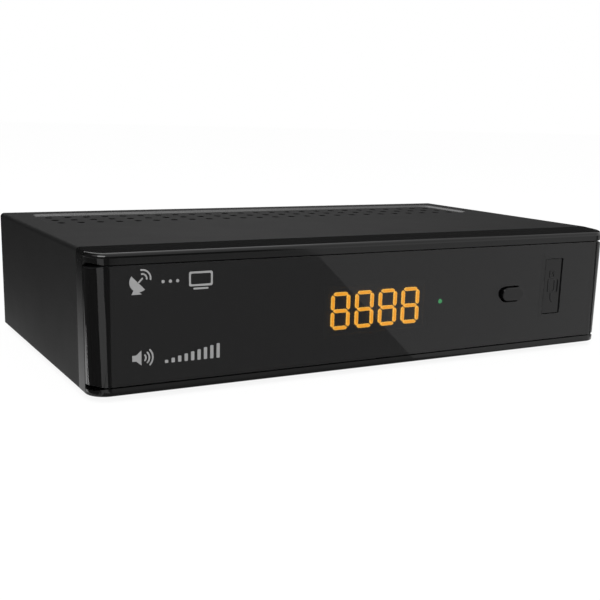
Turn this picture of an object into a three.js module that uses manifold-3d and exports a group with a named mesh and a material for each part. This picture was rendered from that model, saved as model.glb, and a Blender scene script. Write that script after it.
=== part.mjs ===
// Small satellite television receiver, a desk-top box for a dish, built as it comes apart on a bench.
// Millimetres, +Z up, +X to the right of someone facing the front, +Y from the front to the rear.
// Inside the case group, X is zero at the middle, Y at the front face and Z at the underside.

import * as THREE from 'three';
import { mergeVertices } from 'three/addons/utils/BufferGeometryUtils.js';
import Module from 'manifold-3d';

const wasm = await Module();
wasm.setup();

// Whole case
const caseWidth = 168;
const caseDepth = 94.6;
const caseHeight = 35.4;
const sheet = 0.8;
const fit = 0.3;
const overrun = 2;
const weld = 1e-4;

// Steel cover
const coverBend = 1.2;
const coverTabWidth = 10;
const coverTabHeight = 7;
const coverScrewShare = 0.643;

// Vent field pressed into the cover
const ventColumns = 25;
const ventRows = 3;
const ventColumnPitch = 6;
const ventRowPitch = 7.3;
const ventWidth = 2.2;
const ventLength = 2.8;
const ventFieldInset = 6.4;
const ventFieldSideMargin = 3.7;
const ventFieldFrontMargin = 6;
const ventFieldRearMargin = 5.2;
const ventFieldDepth = 0.6;

// Front bezel, a moulded cap
const bezelDepth = 10;
const bezelDrop = 0.75;
const bezelWall = 1.8;
const cornerRadius = 5.2;
const topEdgeRadius = 0.9;
const bottomEdgeRadius = 0.5;
const topStrip = 2.45;
const bottomStrip = 1.75;
const skirtLength = 3;
const skirtWall = 1.2;
const skirtRoot = 2;

// Grooves between the bezel's strips and the front plate
const grooveHeight = 0.4;
const flareDepth = 1.6;
const flareHalfHeight = 0.65;

// Smoked front plate, wrapped round both corners
const plateThickness = 1.8;
const plateReturn = 4.3;

// Snap arms of the bezel, in windows of the tray's lips
const clipThickness = 1.3;
const clipHeight = 4;
const clipReach = 9;
const clipBarb = 0.7;
const clipBarbLength = 2;
const clipPlaceShare = 0.62;

// Steel tray with the rear panel
const trayLip = 12;
const underVentCount = 9;
const underVentPitch = 9;
const underVentWidth = 2.4;
const underVentLength = 18;
const underVentPlaceShare = 0.5;

// Rubber feet
const footRadius = 5;
const footHeight = 2;
const footChamfer = 0.6;
const footInset = 14;

// Main board on four standoffs
const boardThickness = 1.6;
const boardLift = 6.4;
const boardSideGap = 3;
const boardFrontGap = 4;
const boardRearGap = 1.2;
const standoffRadius = 3;
const boardScrewFrontShares = [[-0.6, 0.1], [0.6, 0.1]];
const boardScrewRearShare = 0.9;

// Screws
const screwShankRadius = 1.2;
const screwHeadRadius = 2.7;
const screwHeadHeight = 1.6;
const coverScrewLength = 5;
const boardScrewLength = 6;
const crossLength = 3;
const crossWidth = 0.6;
const crossDepth = 0.7;

// Display module with four seven-segment figures
const displayWidth = 34;
const displayHeight = 15;
const displayRim = 1;
const displayPocket = 1.5;
const displayPlaceShares = [-0.019, 0.4635];
const figureCount = 4;
const figurePitch = 7.73;
const figureWidth = 5.9;
const figureHeight = 10.4;
const segmentWidth = 1;
const segmentGap = 0.3;
const segmentRise = 0.5;
const segmentBacking = 0.7;

// Front board, upright behind the bezel
const frontBoardSetback = 5.7;
const frontBoardEndShares = [-0.357, 0.655];
const frontBoardEdgeGap = 1.6;
const bossRadius = 2.8;
const frontScrewShankRadius = 0.9;
const frontScrewHeadRadius = 2.3;
const frontScrewHeadHeight = 1.3;
const frontScrewLength = 5;
const frontScrewLeftLevelShare = 0.45;
const frontScrewRightShares = [0.62, 0.82];

// Status lamp with its light pipe
const pipeRadius = 0.6;
const pipeFlangeRadius = 1.3;
const pipeFlange = 0.8;
const pipeTail = 1.2;
const lampPlaceShares = [0.2437, 0.4806];
const lampWidth = 2;
const lampHeight = 1.3;

// Receiver for the remote control's infrared light
const eyePlaceShare = 0.3452;
const eyeWidth = 6;
const eyeHeight = 7;
const eyeDepth = 3;
const eyeLensRadius = 2;
const eyeLensReach = 1.6;

// Standby button and the switch behind it
const buttonPlaceShares = [0.5429, 0.5126];
const buttonLength = 8;
const buttonHeight = 4;
const buttonProud = 1.2;
const buttonEdge = 0.4;
const buttonFlangeMargin = 1.4;
const buttonFlange = 0.8;
const buttonStubRadius = 1.5;
const buttonStub = 0.5;
const switchSide = 6;
const switchDepth = 3.1;
const plungerRadius = 1.7;
const plungerProud = 0.7;
const plungerSunk = 1.2;
const plungerRoom = 0.6;

// Hinged cover of the front socket
const flapPlaceShares = [0.7381, 0.5531];
const flapWidth = 6.8;
const flapHeight = 16.9;
const flapThickness = 1.2;
const flapRecess = 0.35;
const flapKnuckleRadius = 0.6;
const flapPinRadius = 0.4;
const flapPinLength = 1;
const flapPullDepth = 0.25;
const flapPullWidth = 1;
const flapPullHeight = 4;
const flapPullMargin = 0.8;

// Front socket, standing on the main board
const portWidth = 5.9;
const portHeight = 13.2;
const portDepth = 14;
const portWall = 0.4;
const portFront = 2.6;
const portTongue = 1.8;
const portTongueDepth = 9;
const portTongueMargin = 1;
const portPlug = 3;
const portHeel = 3;

// Ribbon between the two boards
const linkWidth = 12;
const linkThickness = 0.8;
const linkRiseShare = 0.55;
const linkBend = 3;
const linkPlaceShare = 0.16;
const linkHeaderDepth = 4;
const linkHeaderHeight = 5;
const linkHeaderMargin = 1;
const linkGap = 5;

// Tuner in its screening can
const tunerWidth = 28;
const tunerDepth = 29;
const tunerHeight = 13;
const tunerSheet = 0.5;
const tunerPlaceShare = 0.8;
const tunerDividerShare = 0.4;
const tunerLidLip = 2;
const tunerHoleRadius = 1.2;
const tunerHoleShares = [[-0.3, -0.3], [0.3, -0.3], [-0.3, 0.3], [0.3, 0.3]];

// Aerial socket on the tuner
const aerialRadius = 4.75;
const aerialReach = 9.5;
const aerialFlangeRadius = 6.2;
const aerialFlange = 1.5;
const aerialBoreRadius = 3.6;
const aerialBoreDepth = 1.2;
const aerialContactRadius = 0.6;
const aerialContactDepth = 6;
const aerialRise = 7.4;
const nutAcrossFlats = 11;
const nutThickness = 2.2;

// Round audio socket
const audioPlaceShare = 0.46;
const audioWidth = 10;
const audioHeight = 12.5;
const audioDepth = 9;
const audioRise = 7;
const audioSleeveRadius = 4.15;
const audioSleeveReach = 7;
const audioSleeveTail = 4;
const audioBoreRadius = 3.4;
const audioCoreRadius = 2.9;
const audioContactRadius = 1.6;
const audioCoreInset = 0.8;

// Picture socket
const videoPlaceShare = 0.13;
const videoWidth = 15;
const videoHeight = 5.6;
const videoDepth = 11;
const videoChamfer = 1.6;
const videoWall = 0.4;
const videoTongue = 0.8;
const videoTongueMargin = 2;
const videoTongueDepth = 8;
const videoPlug = 2.4;
const videoReach = 0.6;

// Wide television socket
const scartPlaceShare = -0.34;
const scartWidth = 46;
const scartHeight = 14.6;
const scartSkew = 3;
const scartDepth = 17;
const scartShieldWall = 0.5;
const scartShieldDepth = 9;
const scartCoreRecess = 0.8;
const scartReach = 1;
const scartRise = 1.4;
const scartSlotCount = 10;
const scartSlotWidth = 1.2;
const scartSlotHeight = 4;
const scartSlotDepth = 8;
const scartSlotPitch = 3.8;
const scartRowPitch = 6;

// Power socket
const powerPlaceShare = -0.92;
const powerWidth = 9;
const powerHeight = 11;
const powerDepth = 13;
const powerBoreRadius = 3.15;
const powerBoreDepth = 9.5;
const powerPinRadius = 1;
const powerPinReach = 8.5;
const powerNeckRadius = 4;
const powerReach = 0.6;

// Chips and other components
const processorSide = 17;
const processorHeight = 1.4;
const processorPlaceShares = [-0.08, 0.42];
const sinkSide = 24;
const sinkBase = 2;
const sinkHeight = 9;
const finCount = 7;
const finThickness = 1.2;
const memoryWidth = 9;
const memoryLength = 13;
const memoryHeight = 1.2;
const memoryPlaceShares = [0.22, 0.44];
const flashWidth = 6;
const flashLength = 5;
const flashHeight = 1.8;
const flashPlaceShares = [0.22, 0.2];
const crystalWidth = 11;
const crystalLength = 4.6;
const crystalHeight = 3.5;
const crystalPlaceShares = [-0.08, 0.13];
const regulatorWidth = 6.5;
const regulatorLength = 6;
const regulatorHeight = 2.3;
const regulatorPlaceShares = [-0.56, 0.34];
const coilSide = 8;
const coilHeight = 4.5;
const coilCoreRadius = 3;
const coilPlaceShares = [-0.74, 0.46];
const canRadius = 4;
const canHeight = 11;
const canVentWidth = 0.5;
const canVentDepth = 0.4;
const canEdge = 0.5;
const canPlaceShares = [[-0.88, 0.62], [-0.72, 0.66], [-0.56, 0.6], [0.44, 0.24]];

// Facets of round shapes
const cornerSteps = 4;
const edgeSteps = 2;
const fineSides = 24;
const plainSides = 12;
const slotSides = 2;

// Places worked out from the sizes above
const halfWidth = caseWidth / 2;
const bezelTop = caseHeight - bezelDrop;
const plateBottom = bottomStrip + grooveHeight;
const plateTop = bezelTop - topStrip - grooveHeight;
const bezelFace = plateThickness + fit;
const bezelInner = bezelFace + bezelWall;
const panelInner = caseDepth - sheet;
const trayHalfWidth = halfWidth - sheet - fit;
const lipInner = trayHalfWidth - sheet;
const boardTop = boardLift + boardThickness;
const boardHalfWidth = lipInner - boardSideGap;
const boardFront = bezelDepth + boardFrontGap;
const boardRear = panelInner - boardRearGap;
const boardDepth = boardRear - boardFront;
const frontBoardFace = bezelInner + frontBoardSetback;
const frontBoardBack = frontBoardFace + boardThickness;
const frontBoardBottom = bezelWall + frontBoardEdgeGap;
const frontBoardTop = bezelTop - bezelWall - frontBoardEdgeGap;

// Places on the front, as shares of the half width and of the plate's height
function onFront([xShare, zShare]) {
  return [halfWidth * xShare, plateBottom + (plateTop - plateBottom) * zShare];
}

const [displayPlaceX, displayPlaceZ] = onFront(displayPlaceShares);
const [lampPlaceX, lampPlaceZ] = onFront(lampPlaceShares);
const [buttonPlaceX, buttonPlaceZ] = onFront(buttonPlaceShares);
const [flapPlaceX, flapPlaceZ] = onFront(flapPlaceShares);
const eyePlaceX = halfWidth * eyePlaceShare;
const [frontBoardLeft, frontBoardRight] = frontBoardEndShares.map((share) => halfWidth * share);

// Solids from three.js geometry

function solidOf(geometry) {
  const plain = geometry.clone();
  plain.deleteAttribute('normal');
  plain.deleteAttribute('uv');
  const merged = mergeVertices(plain, weld);
  const corners = merged.index.array;
  const triangles = [];
  for (let i = 0; i < corners.length; i += 3) {
    const [a, b, c] = [corners[i], corners[i + 1], corners[i + 2]];
    if (a !== b && b !== c && c !== a) triangles.push(a, b, c);
  }
  const mesh = new wasm.Mesh({
    numProp: 3,
    vertProperties: new Float32Array(merged.attributes.position.array),
    triVerts: new Uint32Array(triangles),
  });
  return new wasm.Manifold(mesh);
}

function geometryOf(solid) {
  const mesh = solid.getMesh();
  const geometry = new THREE.BufferGeometry();
  geometry.setAttribute('position', new THREE.BufferAttribute(mesh.vertProperties, 3));
  geometry.setIndex(new THREE.BufferAttribute(mesh.triVerts, 1));
  geometry.computeVertexNormals();
  return geometry;
}

function block([x0, x1], [y0, y1], [z0, z1]) {
  const geometry = new THREE.BoxGeometry(x1 - x0, y1 - y0, z1 - z0);
  geometry.translate((x0 + x1) / 2, (y0 + y1) / 2, (z0 + z1) / 2);
  return solidOf(geometry);
}

function around(middle, size) {
  return [middle - size / 2, middle + size / 2];
}

function extruded(shape, depth, curveSegments) {
  return new THREE.ExtrudeGeometry(shape, { depth, curveSegments, bevelEnabled: false });
}

// A shape drawn in X and Y, raised along Z
function prismZ(shape, [z0, z1], steps = cornerSteps) {
  const geometry = extruded(shape, z1 - z0, steps);
  geometry.translate(0, 0, z0);
  return solidOf(geometry);
}

// A shape drawn in X and Z, drawn out along Y
function prismY(shape, [y0, y1], steps = cornerSteps) {
  const geometry = extruded(shape, y1 - y0, steps);
  geometry.rotateX(Math.PI / 2);
  geometry.translate(0, y1, 0);
  return solidOf(geometry);
}

// A shape drawn in Y and Z, drawn out along X
function prismX(shape, [x0, x1], steps = cornerSteps) {
  const geometry = extruded(shape, x1 - x0, steps);
  const [alongX, alongY, alongZ] = [[1, 0, 0], [0, 1, 0], [0, 0, 1]].map((axis) => new THREE.Vector3(...axis));
  geometry.applyMatrix4(new THREE.Matrix4().makeBasis(alongY, alongZ, alongX));
  geometry.translate(x0, 0, 0);
  return solidOf(geometry);
}

function rodY(radius, [y0, y1], x, z, sides = plainSides) {
  const geometry = new THREE.CylinderGeometry(radius, radius, y1 - y0, sides);
  geometry.translate(x, (y0 + y1) / 2, z);
  return solidOf(geometry);
}

function rodZ(radius, [z0, z1], x, y, sides = plainSides) {
  const geometry = new THREE.CylinderGeometry(radius, radius, z1 - z0, sides);
  geometry.rotateX(Math.PI / 2);
  geometry.translate(x, y, (z0 + z1) / 2);
  return solidOf(geometry);
}

// A profile of [radius, height] pairs, turned about the Z axis
function turnedZ(profile, sides) {
  const points = profile.map(([radius, height]) => new THREE.Vector2(radius, height));
  const geometry = new THREE.LatheGeometry(points, sides);
  geometry.rotateX(Math.PI / 2);
  return solidOf(geometry);
}

function united(solids) {
  return solids.reduce((sum, solid) => sum.add(solid));
}

function cutBy(solid, cutters) {
  return cutters.reduce((rest, cutter) => rest.subtract(cutter), solid);
}

function pillShape(length, height, x, z) {
  const radius = Math.min(length, height) / 2;
  const [reachX, reachZ] = [length / 2 - radius, height / 2 - radius];
  const shape = new THREE.Shape();
  if (length > height) {
    shape.absarc(x + reachX, z, radius, -Math.PI / 2, Math.PI / 2, false);
    shape.absarc(x - reachX, z, radius, Math.PI / 2, Math.PI * 1.5, false);
  } else {
    shape.absarc(x, z + reachZ, radius, 0, Math.PI, false);
    shape.absarc(x, z - reachZ, radius, Math.PI, Math.PI * 2, false);
  }
  return shape;
}

// Plan outline of the front cap, moved inwards by the inset and running past its rear
function capOutline(inset) {
  const side = halfWidth - inset;
  const radius = cornerRadius - inset;
  const rear = bezelDepth + overrun;
  const shape = new THREE.Shape();
  shape.moveTo(side, rear);
  shape.lineTo(side, cornerRadius);
  shape.absarc(side - radius, cornerRadius, radius, 0, -Math.PI / 2, true);
  shape.absarc(radius - side, cornerRadius, radius, -Math.PI / 2, -Math.PI, true);
  shape.lineTo(-side, rear);
  return shape;
}

// A slab with that outline, cut off square at the given distance from the front
function capSlab(inset, zs, rear) {
  const kept = block([-caseWidth, caseWidth], [-caseDepth, rear], zs);
  return prismZ(capOutline(inset), zs).intersect(kept);
}

// A closed skin through rings of points, each ring as long as the next and flat at both ends
function lofted(rings) {
  const count = rings[0].length;
  const faces = [];
  for (let level = 0; level + 1 < rings.length; level += 1) {
    for (let i = 0; i < count; i += 1) {
      const [near, next] = [level * count + i, level * count + (i + 1) % count];
      faces.push(near, next, next + count, near, next + count, near + count);
    }
  }
  const last = (rings.length - 1) * count;
  for (const [a, b, c] of THREE.ShapeUtils.triangulateShape(rings[0], [])) {
    faces.push(a, c, b, last + a, last + b, last + c);
  }
  const geometry = new THREE.BufferGeometry();
  const places = rings.flat().flatMap((point) => [point.x, point.y, point.z]);
  geometry.setAttribute('position', new THREE.Float32BufferAttribute(places, 3));
  geometry.setIndex(faces);
  return solidOf(geometry);
}

// The whole front cap, solid, with rounded top and bottom edges. Its top rises towards the cover
function roundedCap() {
  const slope = bezelDrop / (bezelDepth - topEdgeRadius);
  const outline = (inset, z, rise = 0) => capOutline(inset).getPoints(cornerSteps).reverse()
    .map((point) => new THREE.Vector3(point.x, point.y, z + rise * (point.y - topEdgeRadius)));
  const turns = Array.from({ length: edgeSteps + 1 }, (unused, i) => i / edgeSteps * Math.PI / 2);
  const low = turns.map((turn) => outline(
    bottomEdgeRadius * (1 - Math.sin(turn)), bottomEdgeRadius * (1 - Math.cos(turn))));
  const high = turns.map((turn) => outline(
    topEdgeRadius * (1 - Math.cos(turn)), bezelTop - topEdgeRadius * (1 - Math.sin(turn)), slope));
  return lofted([...low, ...high]).intersect(block([-caseWidth, caseWidth], [-overrun, bezelDepth], [0, caseHeight]));
}

// The V that a groove opens into as it turns each corner
function grooveFlares(z) {
  const outside = flareDepth + overrun;
  const spread = flareHalfHeight * outside / flareDepth;
  const apex = [cornerRadius - flareDepth, 0];
  const lower = [cornerRadius + overrun, -spread];
  const upper = [cornerRadius + overrun, spread];
  const ring = turnedZ([apex, lower, upper, apex], cornerSteps * 4);
  const reach = [0, cornerRadius + overrun];
  const quadrant = [-cornerRadius - overrun, plateReturn + fit - cornerRadius];
  const kept = ring.intersect(block(reach, quadrant, [-spread, spread]));
  return [1, -1].map((side) => {
    const placed = side > 0 ? kept : kept.mirror([1, 0, 0]);
    return placed.translate([side * (halfWidth - cornerRadius), cornerRadius, z]);
  });
}

const topGroove = plateTop + grooveHeight / 2;
const bottomGroove = plateBottom - grooveHeight / 2;
const flares = [...grooveFlares(topGroove), ...grooveFlares(bottomGroove)];

// Places on the main board

function onBoard([xShare, yShare]) {
  return [boardHalfWidth * xShare, boardFront + boardDepth * yShare];
}

const aerialX = boardHalfWidth * tunerPlaceShare;
const aerialZ = boardTop + aerialRise;
const audioX = boardHalfWidth * audioPlaceShare;
const audioZ = boardTop + audioRise;
const videoX = boardHalfWidth * videoPlaceShare;
const videoZ = boardTop + videoHeight / 2;
const scartX = boardHalfWidth * scartPlaceShare;
const scartZ = boardTop + scartRise + scartHeight / 2;
const powerX = boardHalfWidth * powerPlaceShare;
const powerZ = boardTop + powerHeight / 2;
const coverScrewZ = caseHeight - sheet - coverTabHeight / 2;
const coverScrewXs = [-halfWidth * coverScrewShare, halfWidth * coverScrewShare];

// The rear board screws stand midway between neighbouring sockets
const boardScrewRearY = boardFront + boardDepth * boardScrewRearShare;
const leftSocketGap = (powerX + powerWidth / 2 + scartX - scartWidth / 2) / 2;
const rightSocketGap = (videoX + videoWidth / 2 + audioX - audioWidth / 2) / 2;
const boardScrews = [
  ...boardScrewFrontShares.map(onBoard),
  [leftSocketGap, boardScrewRearY],
  [rightSocketGap, boardScrewRearY],
];

// Steel tray: base, side lips and rear panel from one bent sheet

const clipCentreZ = trayLip * clipPlaceShare;
const clipFront = bezelDepth - skirtRoot;
const clipRear = bezelDepth + skirtLength + clipReach;

function scartOutline(margin) {
  const [half, low, high] = [scartWidth / 2 + margin, -scartHeight / 2 - margin, scartHeight / 2 + margin];
  const shape = new THREE.Shape();
  shape.moveTo(scartX - half + scartSkew, scartZ + low);
  shape.lineTo(scartX + half, scartZ + low);
  shape.lineTo(scartX + half, scartZ + high);
  shape.lineTo(scartX - half, scartZ + high);
  shape.lineTo(scartX - half, scartZ + low + scartSkew);
  return shape;
}

function videoOutline(margin) {
  const [half, low, high] = [videoWidth / 2 + margin, -videoHeight / 2 - margin, videoHeight / 2 + margin];
  const shape = new THREE.Shape();
  shape.moveTo(videoX - half + videoChamfer, videoZ + low);
  shape.lineTo(videoX + half - videoChamfer, videoZ + low);
  shape.lineTo(videoX + half, videoZ + low + videoChamfer);
  shape.lineTo(videoX + half, videoZ + high);
  shape.lineTo(videoX - half, videoZ + high);
  shape.lineTo(videoX - half, videoZ + low + videoChamfer);
  return shape;
}

function makeTray() {
  const lipFront = bezelDepth + skirtLength + 2 * fit;
  const base = block([-trayHalfWidth, trayHalfWidth], [bezelDepth + fit, caseDepth], [0, sheet]);
  const panel = block([-trayHalfWidth, trayHalfWidth], [panelInner, caseDepth], [0, caseHeight - sheet - fit]);
  const lips = [-1, 1].map((side) => {
    const xs = side > 0 ? [lipInner, trayHalfWidth] : [-trayHalfWidth, -lipInner];
    return block(xs, [lipFront, caseDepth], [0, trayLip]);
  });
  const standoffs = boardScrews.map(([x, y]) => rodZ(standoffRadius, [sheet / 2, boardLift], x, y));
  const tray = united([base, panel, ...lips, ...standoffs]);

  const through = [panelInner - overrun, caseDepth + overrun];
  const pilots = boardScrews.map(([x, y]) => rodZ(screwShankRadius + fit, [-overrun, boardLift + overrun], x, y));
  const coverHoles = coverScrewXs.map((x) => rodY(screwShankRadius + fit, through, x, coverScrewZ));
  const windowYs = [clipRear - clipBarbLength - fit, clipRear + fit];
  const windows = block([-caseWidth, caseWidth], windowYs, around(clipCentreZ, clipHeight + 2 * fit));
  const ventY = bezelDepth + (caseDepth - bezelDepth) * underVentPlaceShare;
  const underVents = Array.from({ length: underVentCount }, (unused, i) => {
    const x = (i - (underVentCount - 1) / 2) * underVentPitch;
    return prismZ(pillShape(underVentWidth, underVentLength, x, ventY), [-overrun, sheet + overrun], slotSides);
  });
  return cutBy(tray, [
    ...pilots,
    ...coverHoles,
    ...underVents,
    windows,
    rodY(aerialRadius + fit, through, aerialX, aerialZ, fineSides),
    rodY(audioSleeveRadius + fit, through, audioX, audioZ, fineSides),
    prismY(videoOutline(fit), through),
    prismY(scartOutline(fit), through),
    rodY(powerNeckRadius + fit, through, powerX, powerZ, fineSides),
  ]);
}

// Steel cover: lid and both sides from one bent sheet, with the vent field pressed down

function coverOutline() {
  const inner = halfWidth - sheet;
  const bend = coverBend - sheet;
  const lid = caseHeight - sheet;
  const shape = new THREE.Shape();
  shape.moveTo(halfWidth, 0);
  shape.lineTo(halfWidth, caseHeight - coverBend);
  shape.absarc(halfWidth - coverBend, caseHeight - coverBend, coverBend, 0, Math.PI / 2, false);
  shape.absarc(coverBend - halfWidth, caseHeight - coverBend, coverBend, Math.PI / 2, Math.PI, false);
  shape.lineTo(-halfWidth, 0);
  shape.lineTo(-inner, 0);
  shape.lineTo(-inner, lid - bend);
  shape.absarc(bend - inner, lid - bend, bend, Math.PI, Math.PI / 2, true);
  shape.absarc(inner - bend, lid - bend, bend, Math.PI / 2, 0, true);
  shape.lineTo(inner, 0);
  return shape;
}

function makeCover() {
  const fieldHalf = (ventColumns - 1) / 2 * ventColumnPitch + ventWidth / 2 + ventFieldSideMargin;
  const fieldRear = caseDepth - ventFieldInset;
  const lastRow = fieldRear - ventFieldRearMargin - ventLength / 2;
  const firstRow = lastRow - (ventRows - 1) * ventRowPitch;
  const fieldFront = firstRow - ventLength / 2 - ventFieldFrontMargin;
  const floor = caseHeight - ventFieldDepth;
  const shell = prismY(coverOutline(), [bezelDepth, caseDepth], edgeSteps);
  const dish = block([-fieldHalf - sheet, fieldHalf + sheet], [fieldFront - sheet, fieldRear + sheet],
    [floor - sheet, floor]);
  const hollow = block([-fieldHalf, fieldHalf], [fieldFront, fieldRear], [floor, caseHeight + overrun]);
  const tabYs = [panelInner - fit - sheet, panelInner - fit];
  const tabZs = [caseHeight - sheet - coverTabHeight, caseHeight - sheet / 2];
  const tabs = coverScrewXs.map((x) => block(around(x, coverTabWidth), tabYs, tabZs));
  const holes = coverScrewXs.map((x) => {
    return rodY(screwShankRadius + fit, [tabYs[0] - overrun, tabYs[1] + overrun], x, coverScrewZ);
  });
  const vents = [];
  for (let row = 0; row < ventRows; row += 1) {
    for (let column = 0; column < ventColumns; column += 1) {
      const x = (column - (ventColumns - 1) / 2) * ventColumnPitch;
      const slot = pillShape(ventWidth, ventLength, x, firstRow + row * ventRowPitch);
      vents.push(prismZ(slot, [floor - sheet - overrun, caseHeight + overrun], slotSides));
    }
  }
  return cutBy(united([shell, dish, ...tabs]), [hollow, ...holes, ...vents]);
}

// Bezel: the moulded cap that closes the front and carries the plate, the button and the front board

const frontBoardMiddle = (frontBoardRight + frontBoardLeft) / 2;
const frontBoardHalf = (frontBoardRight - frontBoardLeft) / 2;
const frontBoardLevel = (share) => frontBoardBottom + (frontBoardTop - frontBoardBottom) * share;
const frontScrews = [
  [displayPlaceX - displayWidth / 2 - bossRadius - fit, frontBoardLevel(frontScrewLeftLevelShare)],
  [frontBoardMiddle + frontBoardHalf * frontScrewRightShares[0], frontBoardLevel(frontScrewRightShares[1])],
];

function makeBezel() {
  const recessZs = [bottomStrip, bezelTop - topStrip];
  const recess = capSlab(-overrun, recessZs, plateReturn + fit)
    .subtract(prismZ(capOutline(bezelFace), [0, bezelTop]));
  const cavityZs = [bezelWall, bezelTop - bezelWall];
  const cavity = prismZ(capOutline(bezelInner), cavityZs);
  const sideRoom = block([bezelWall - halfWidth, halfWidth - bezelWall],
    [plateReturn + fit + bezelWall, bezelDepth + overrun], cavityZs);

  const skirtYs = [bezelDepth - skirtRoot, bezelDepth + skirtLength];
  const skirtZs = [sheet + fit, caseHeight - sheet - fit];
  const skirt = block([-trayHalfWidth, trayHalfWidth], skirtYs, skirtZs)
    .subtract(block([skirtWall - trayHalfWidth, trayHalfWidth - skirtWall],
      [skirtYs[0] - overrun, skirtYs[1] + overrun], [skirtZs[0] + skirtWall, skirtZs[1] - skirtWall]))
    .intersect(block([-caseWidth, caseWidth], skirtYs, [0, caseHeight]));

  const clipOuter = lipInner - fit;
  const clips = [-1, 1].flatMap((side) => {
    const between = (a, b) => (side > 0 ? [a, b] : [-b, -a]);
    const arm = block(between(clipOuter - clipThickness, clipOuter), [clipFront, clipRear],
      around(clipCentreZ, clipHeight));
    const root = block(between(clipOuter - clipThickness, trayHalfWidth), skirtYs, around(clipCentreZ, clipHeight));
    const barb = block(between(clipOuter - fit, clipOuter + clipBarb), [clipRear - clipBarbLength, clipRear],
      around(clipCentreZ, clipHeight));
    return [arm, root, barb];
  });
  const bosses = frontScrews.map(([x, z]) => rodY(bossRadius, [bezelFace, frontBoardFace], x, z));

  const through = [bezelFace - overrun, bezelInner + overrun];
  const openings = [
    block(around(displayPlaceX, displayWidth + 2 * fit), through, around(displayPlaceZ, displayHeight + 2 * fit)),
    block(around(flapPlaceX, portWidth + 2 * fit), through, around(flapPlaceZ, portHeight + 2 * fit)),
    rodY(pipeRadius + fit, through, lampPlaceX, lampPlaceZ),
    rodY(eyeLensRadius + fit, through, eyePlaceX, lampPlaceZ),
    prismY(pillShape(buttonLength + 2 * fit, buttonHeight + 2 * fit, buttonPlaceX, buttonPlaceZ), through),
    ...frontScrews.map(([x, z]) => rodY(frontScrewShankRadius + fit,
      [bezelInner, frontBoardFace + overrun], x, z)),
  ];
  const shell = cutBy(roundedCap(), [recess, cavity, sideRoom]);
  return cutBy(united([shell, skirt, ...clips, ...bosses]), [...openings, ...flares]);
}

// Front plate with its button hole and socket window

const flapAxisX = flapPlaceX - flapWidth / 2 + flapKnuckleRadius;
const flapAxisY = flapRecess + flapKnuckleRadius;

function makePlate() {
  const zs = [plateBottom, plateTop];
  const plate = capSlab(0, zs, plateReturn).subtract(prismZ(capOutline(plateThickness), [0, bezelTop]));
  const through = [-overrun, plateThickness + overrun];
  const buttonHole = prismY(
    pillShape(buttonLength + 2 * fit, buttonHeight + 2 * fit, buttonPlaceX, buttonPlaceZ), through);
  const window = block(around(flapPlaceX, flapWidth + 2 * fit), through, around(flapPlaceZ, flapHeight + 2 * fit));
  const pinRoom = flapPinRadius + fit;
  const pinSlot = block([flapAxisX - pinRoom, flapAxisX + pinRoom],
    [flapAxisY - pinRoom, plateThickness + overrun],
    around(flapPlaceZ, flapHeight + 2 * (flapPinLength + fit)));
  return cutBy(plate, [buttonHole, window, pinSlot, ...flares]);
}

// Cover of the front socket, with the two pins it swings on at its left edge

function makeFlap() {
  const rear = flapRecess + flapThickness;
  const zs = around(flapPlaceZ, flapHeight);
  const leaf = block([flapAxisX, flapPlaceX + flapWidth / 2], [flapRecess, rear], zs);
  const knuckle = rodZ(flapKnuckleRadius, zs, flapAxisX, flapAxisY, plainSides);
  const pins = rodZ(flapPinRadius, around(flapPlaceZ, flapHeight + 2 * flapPinLength), flapAxisX, flapAxisY);
  const pullRight = flapPlaceX + flapWidth / 2 - flapPullMargin;
  const pull = block([pullRight - flapPullWidth, pullRight], [flapRecess - overrun, flapRecess + flapPullDepth],
    around(flapPlaceZ, flapPullHeight));
  return united([leaf, knuckle, pins]).subtract(pull);
}

// Standby button: a domed-edge pill on a stem, held in by its flange

function makeButton() {
  const face = buttonProud;
  const stemYs = [buttonEdge - face, bezelInner + fit];
  const flangeYs = [stemYs[1], stemYs[1] + buttonFlange];
  const [x, z] = [buttonPlaceX, buttonPlaceZ];
  const stem = prismY(pillShape(buttonLength, buttonHeight, x, z), stemYs);
  const brow = prismY(pillShape(buttonLength - buttonEdge, buttonHeight - buttonEdge, x, z), [-face, stemYs[1]]);
  const flange = prismY(
    pillShape(buttonLength + 2 * buttonFlangeMargin, buttonHeight + 2 * buttonFlangeMargin, x, z), flangeYs);
  const stub = rodY(buttonStubRadius, [flangeYs[0], flangeYs[1] + buttonStub], x, z);
  return united([stem, brow, flange, stub]);
}

const plungerTip = frontBoardFace - switchDepth - plungerProud;

function makeSwitch() {
  const front = frontBoardFace - switchDepth;
  const body = block(around(buttonPlaceX, switchSide), [front, frontBoardFace], around(buttonPlaceZ, switchSide));
  const well = [front - overrun, front + plungerSunk + plungerRoom];
  return body.subtract(rodY(plungerRadius + fit, well, buttonPlaceX, buttonPlaceZ));
}

function makePlunger() {
  const front = frontBoardFace - switchDepth;
  return rodY(plungerRadius, [plungerTip, front + plungerSunk], buttonPlaceX, buttonPlaceZ);
}

// Display: an opaque housing with a pocket, and the moulded light guide that shows the figures

const displayYs = [bezelFace, frontBoardFace];
const guideWidth = displayWidth - 2 * displayRim - 2 * fit;
const guideHeight = displayHeight - 2 * displayRim - 2 * fit;

function makeDisplayHousing() {
  const body = block(around(displayPlaceX, displayWidth), displayYs, around(displayPlaceZ, displayHeight));
  const pocket = block(around(displayPlaceX, displayWidth - 2 * displayRim),
    [bezelFace - overrun, bezelFace + displayPocket], around(displayPlaceZ, displayHeight - 2 * displayRim));
  return body.subtract(pocket);
}

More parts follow.
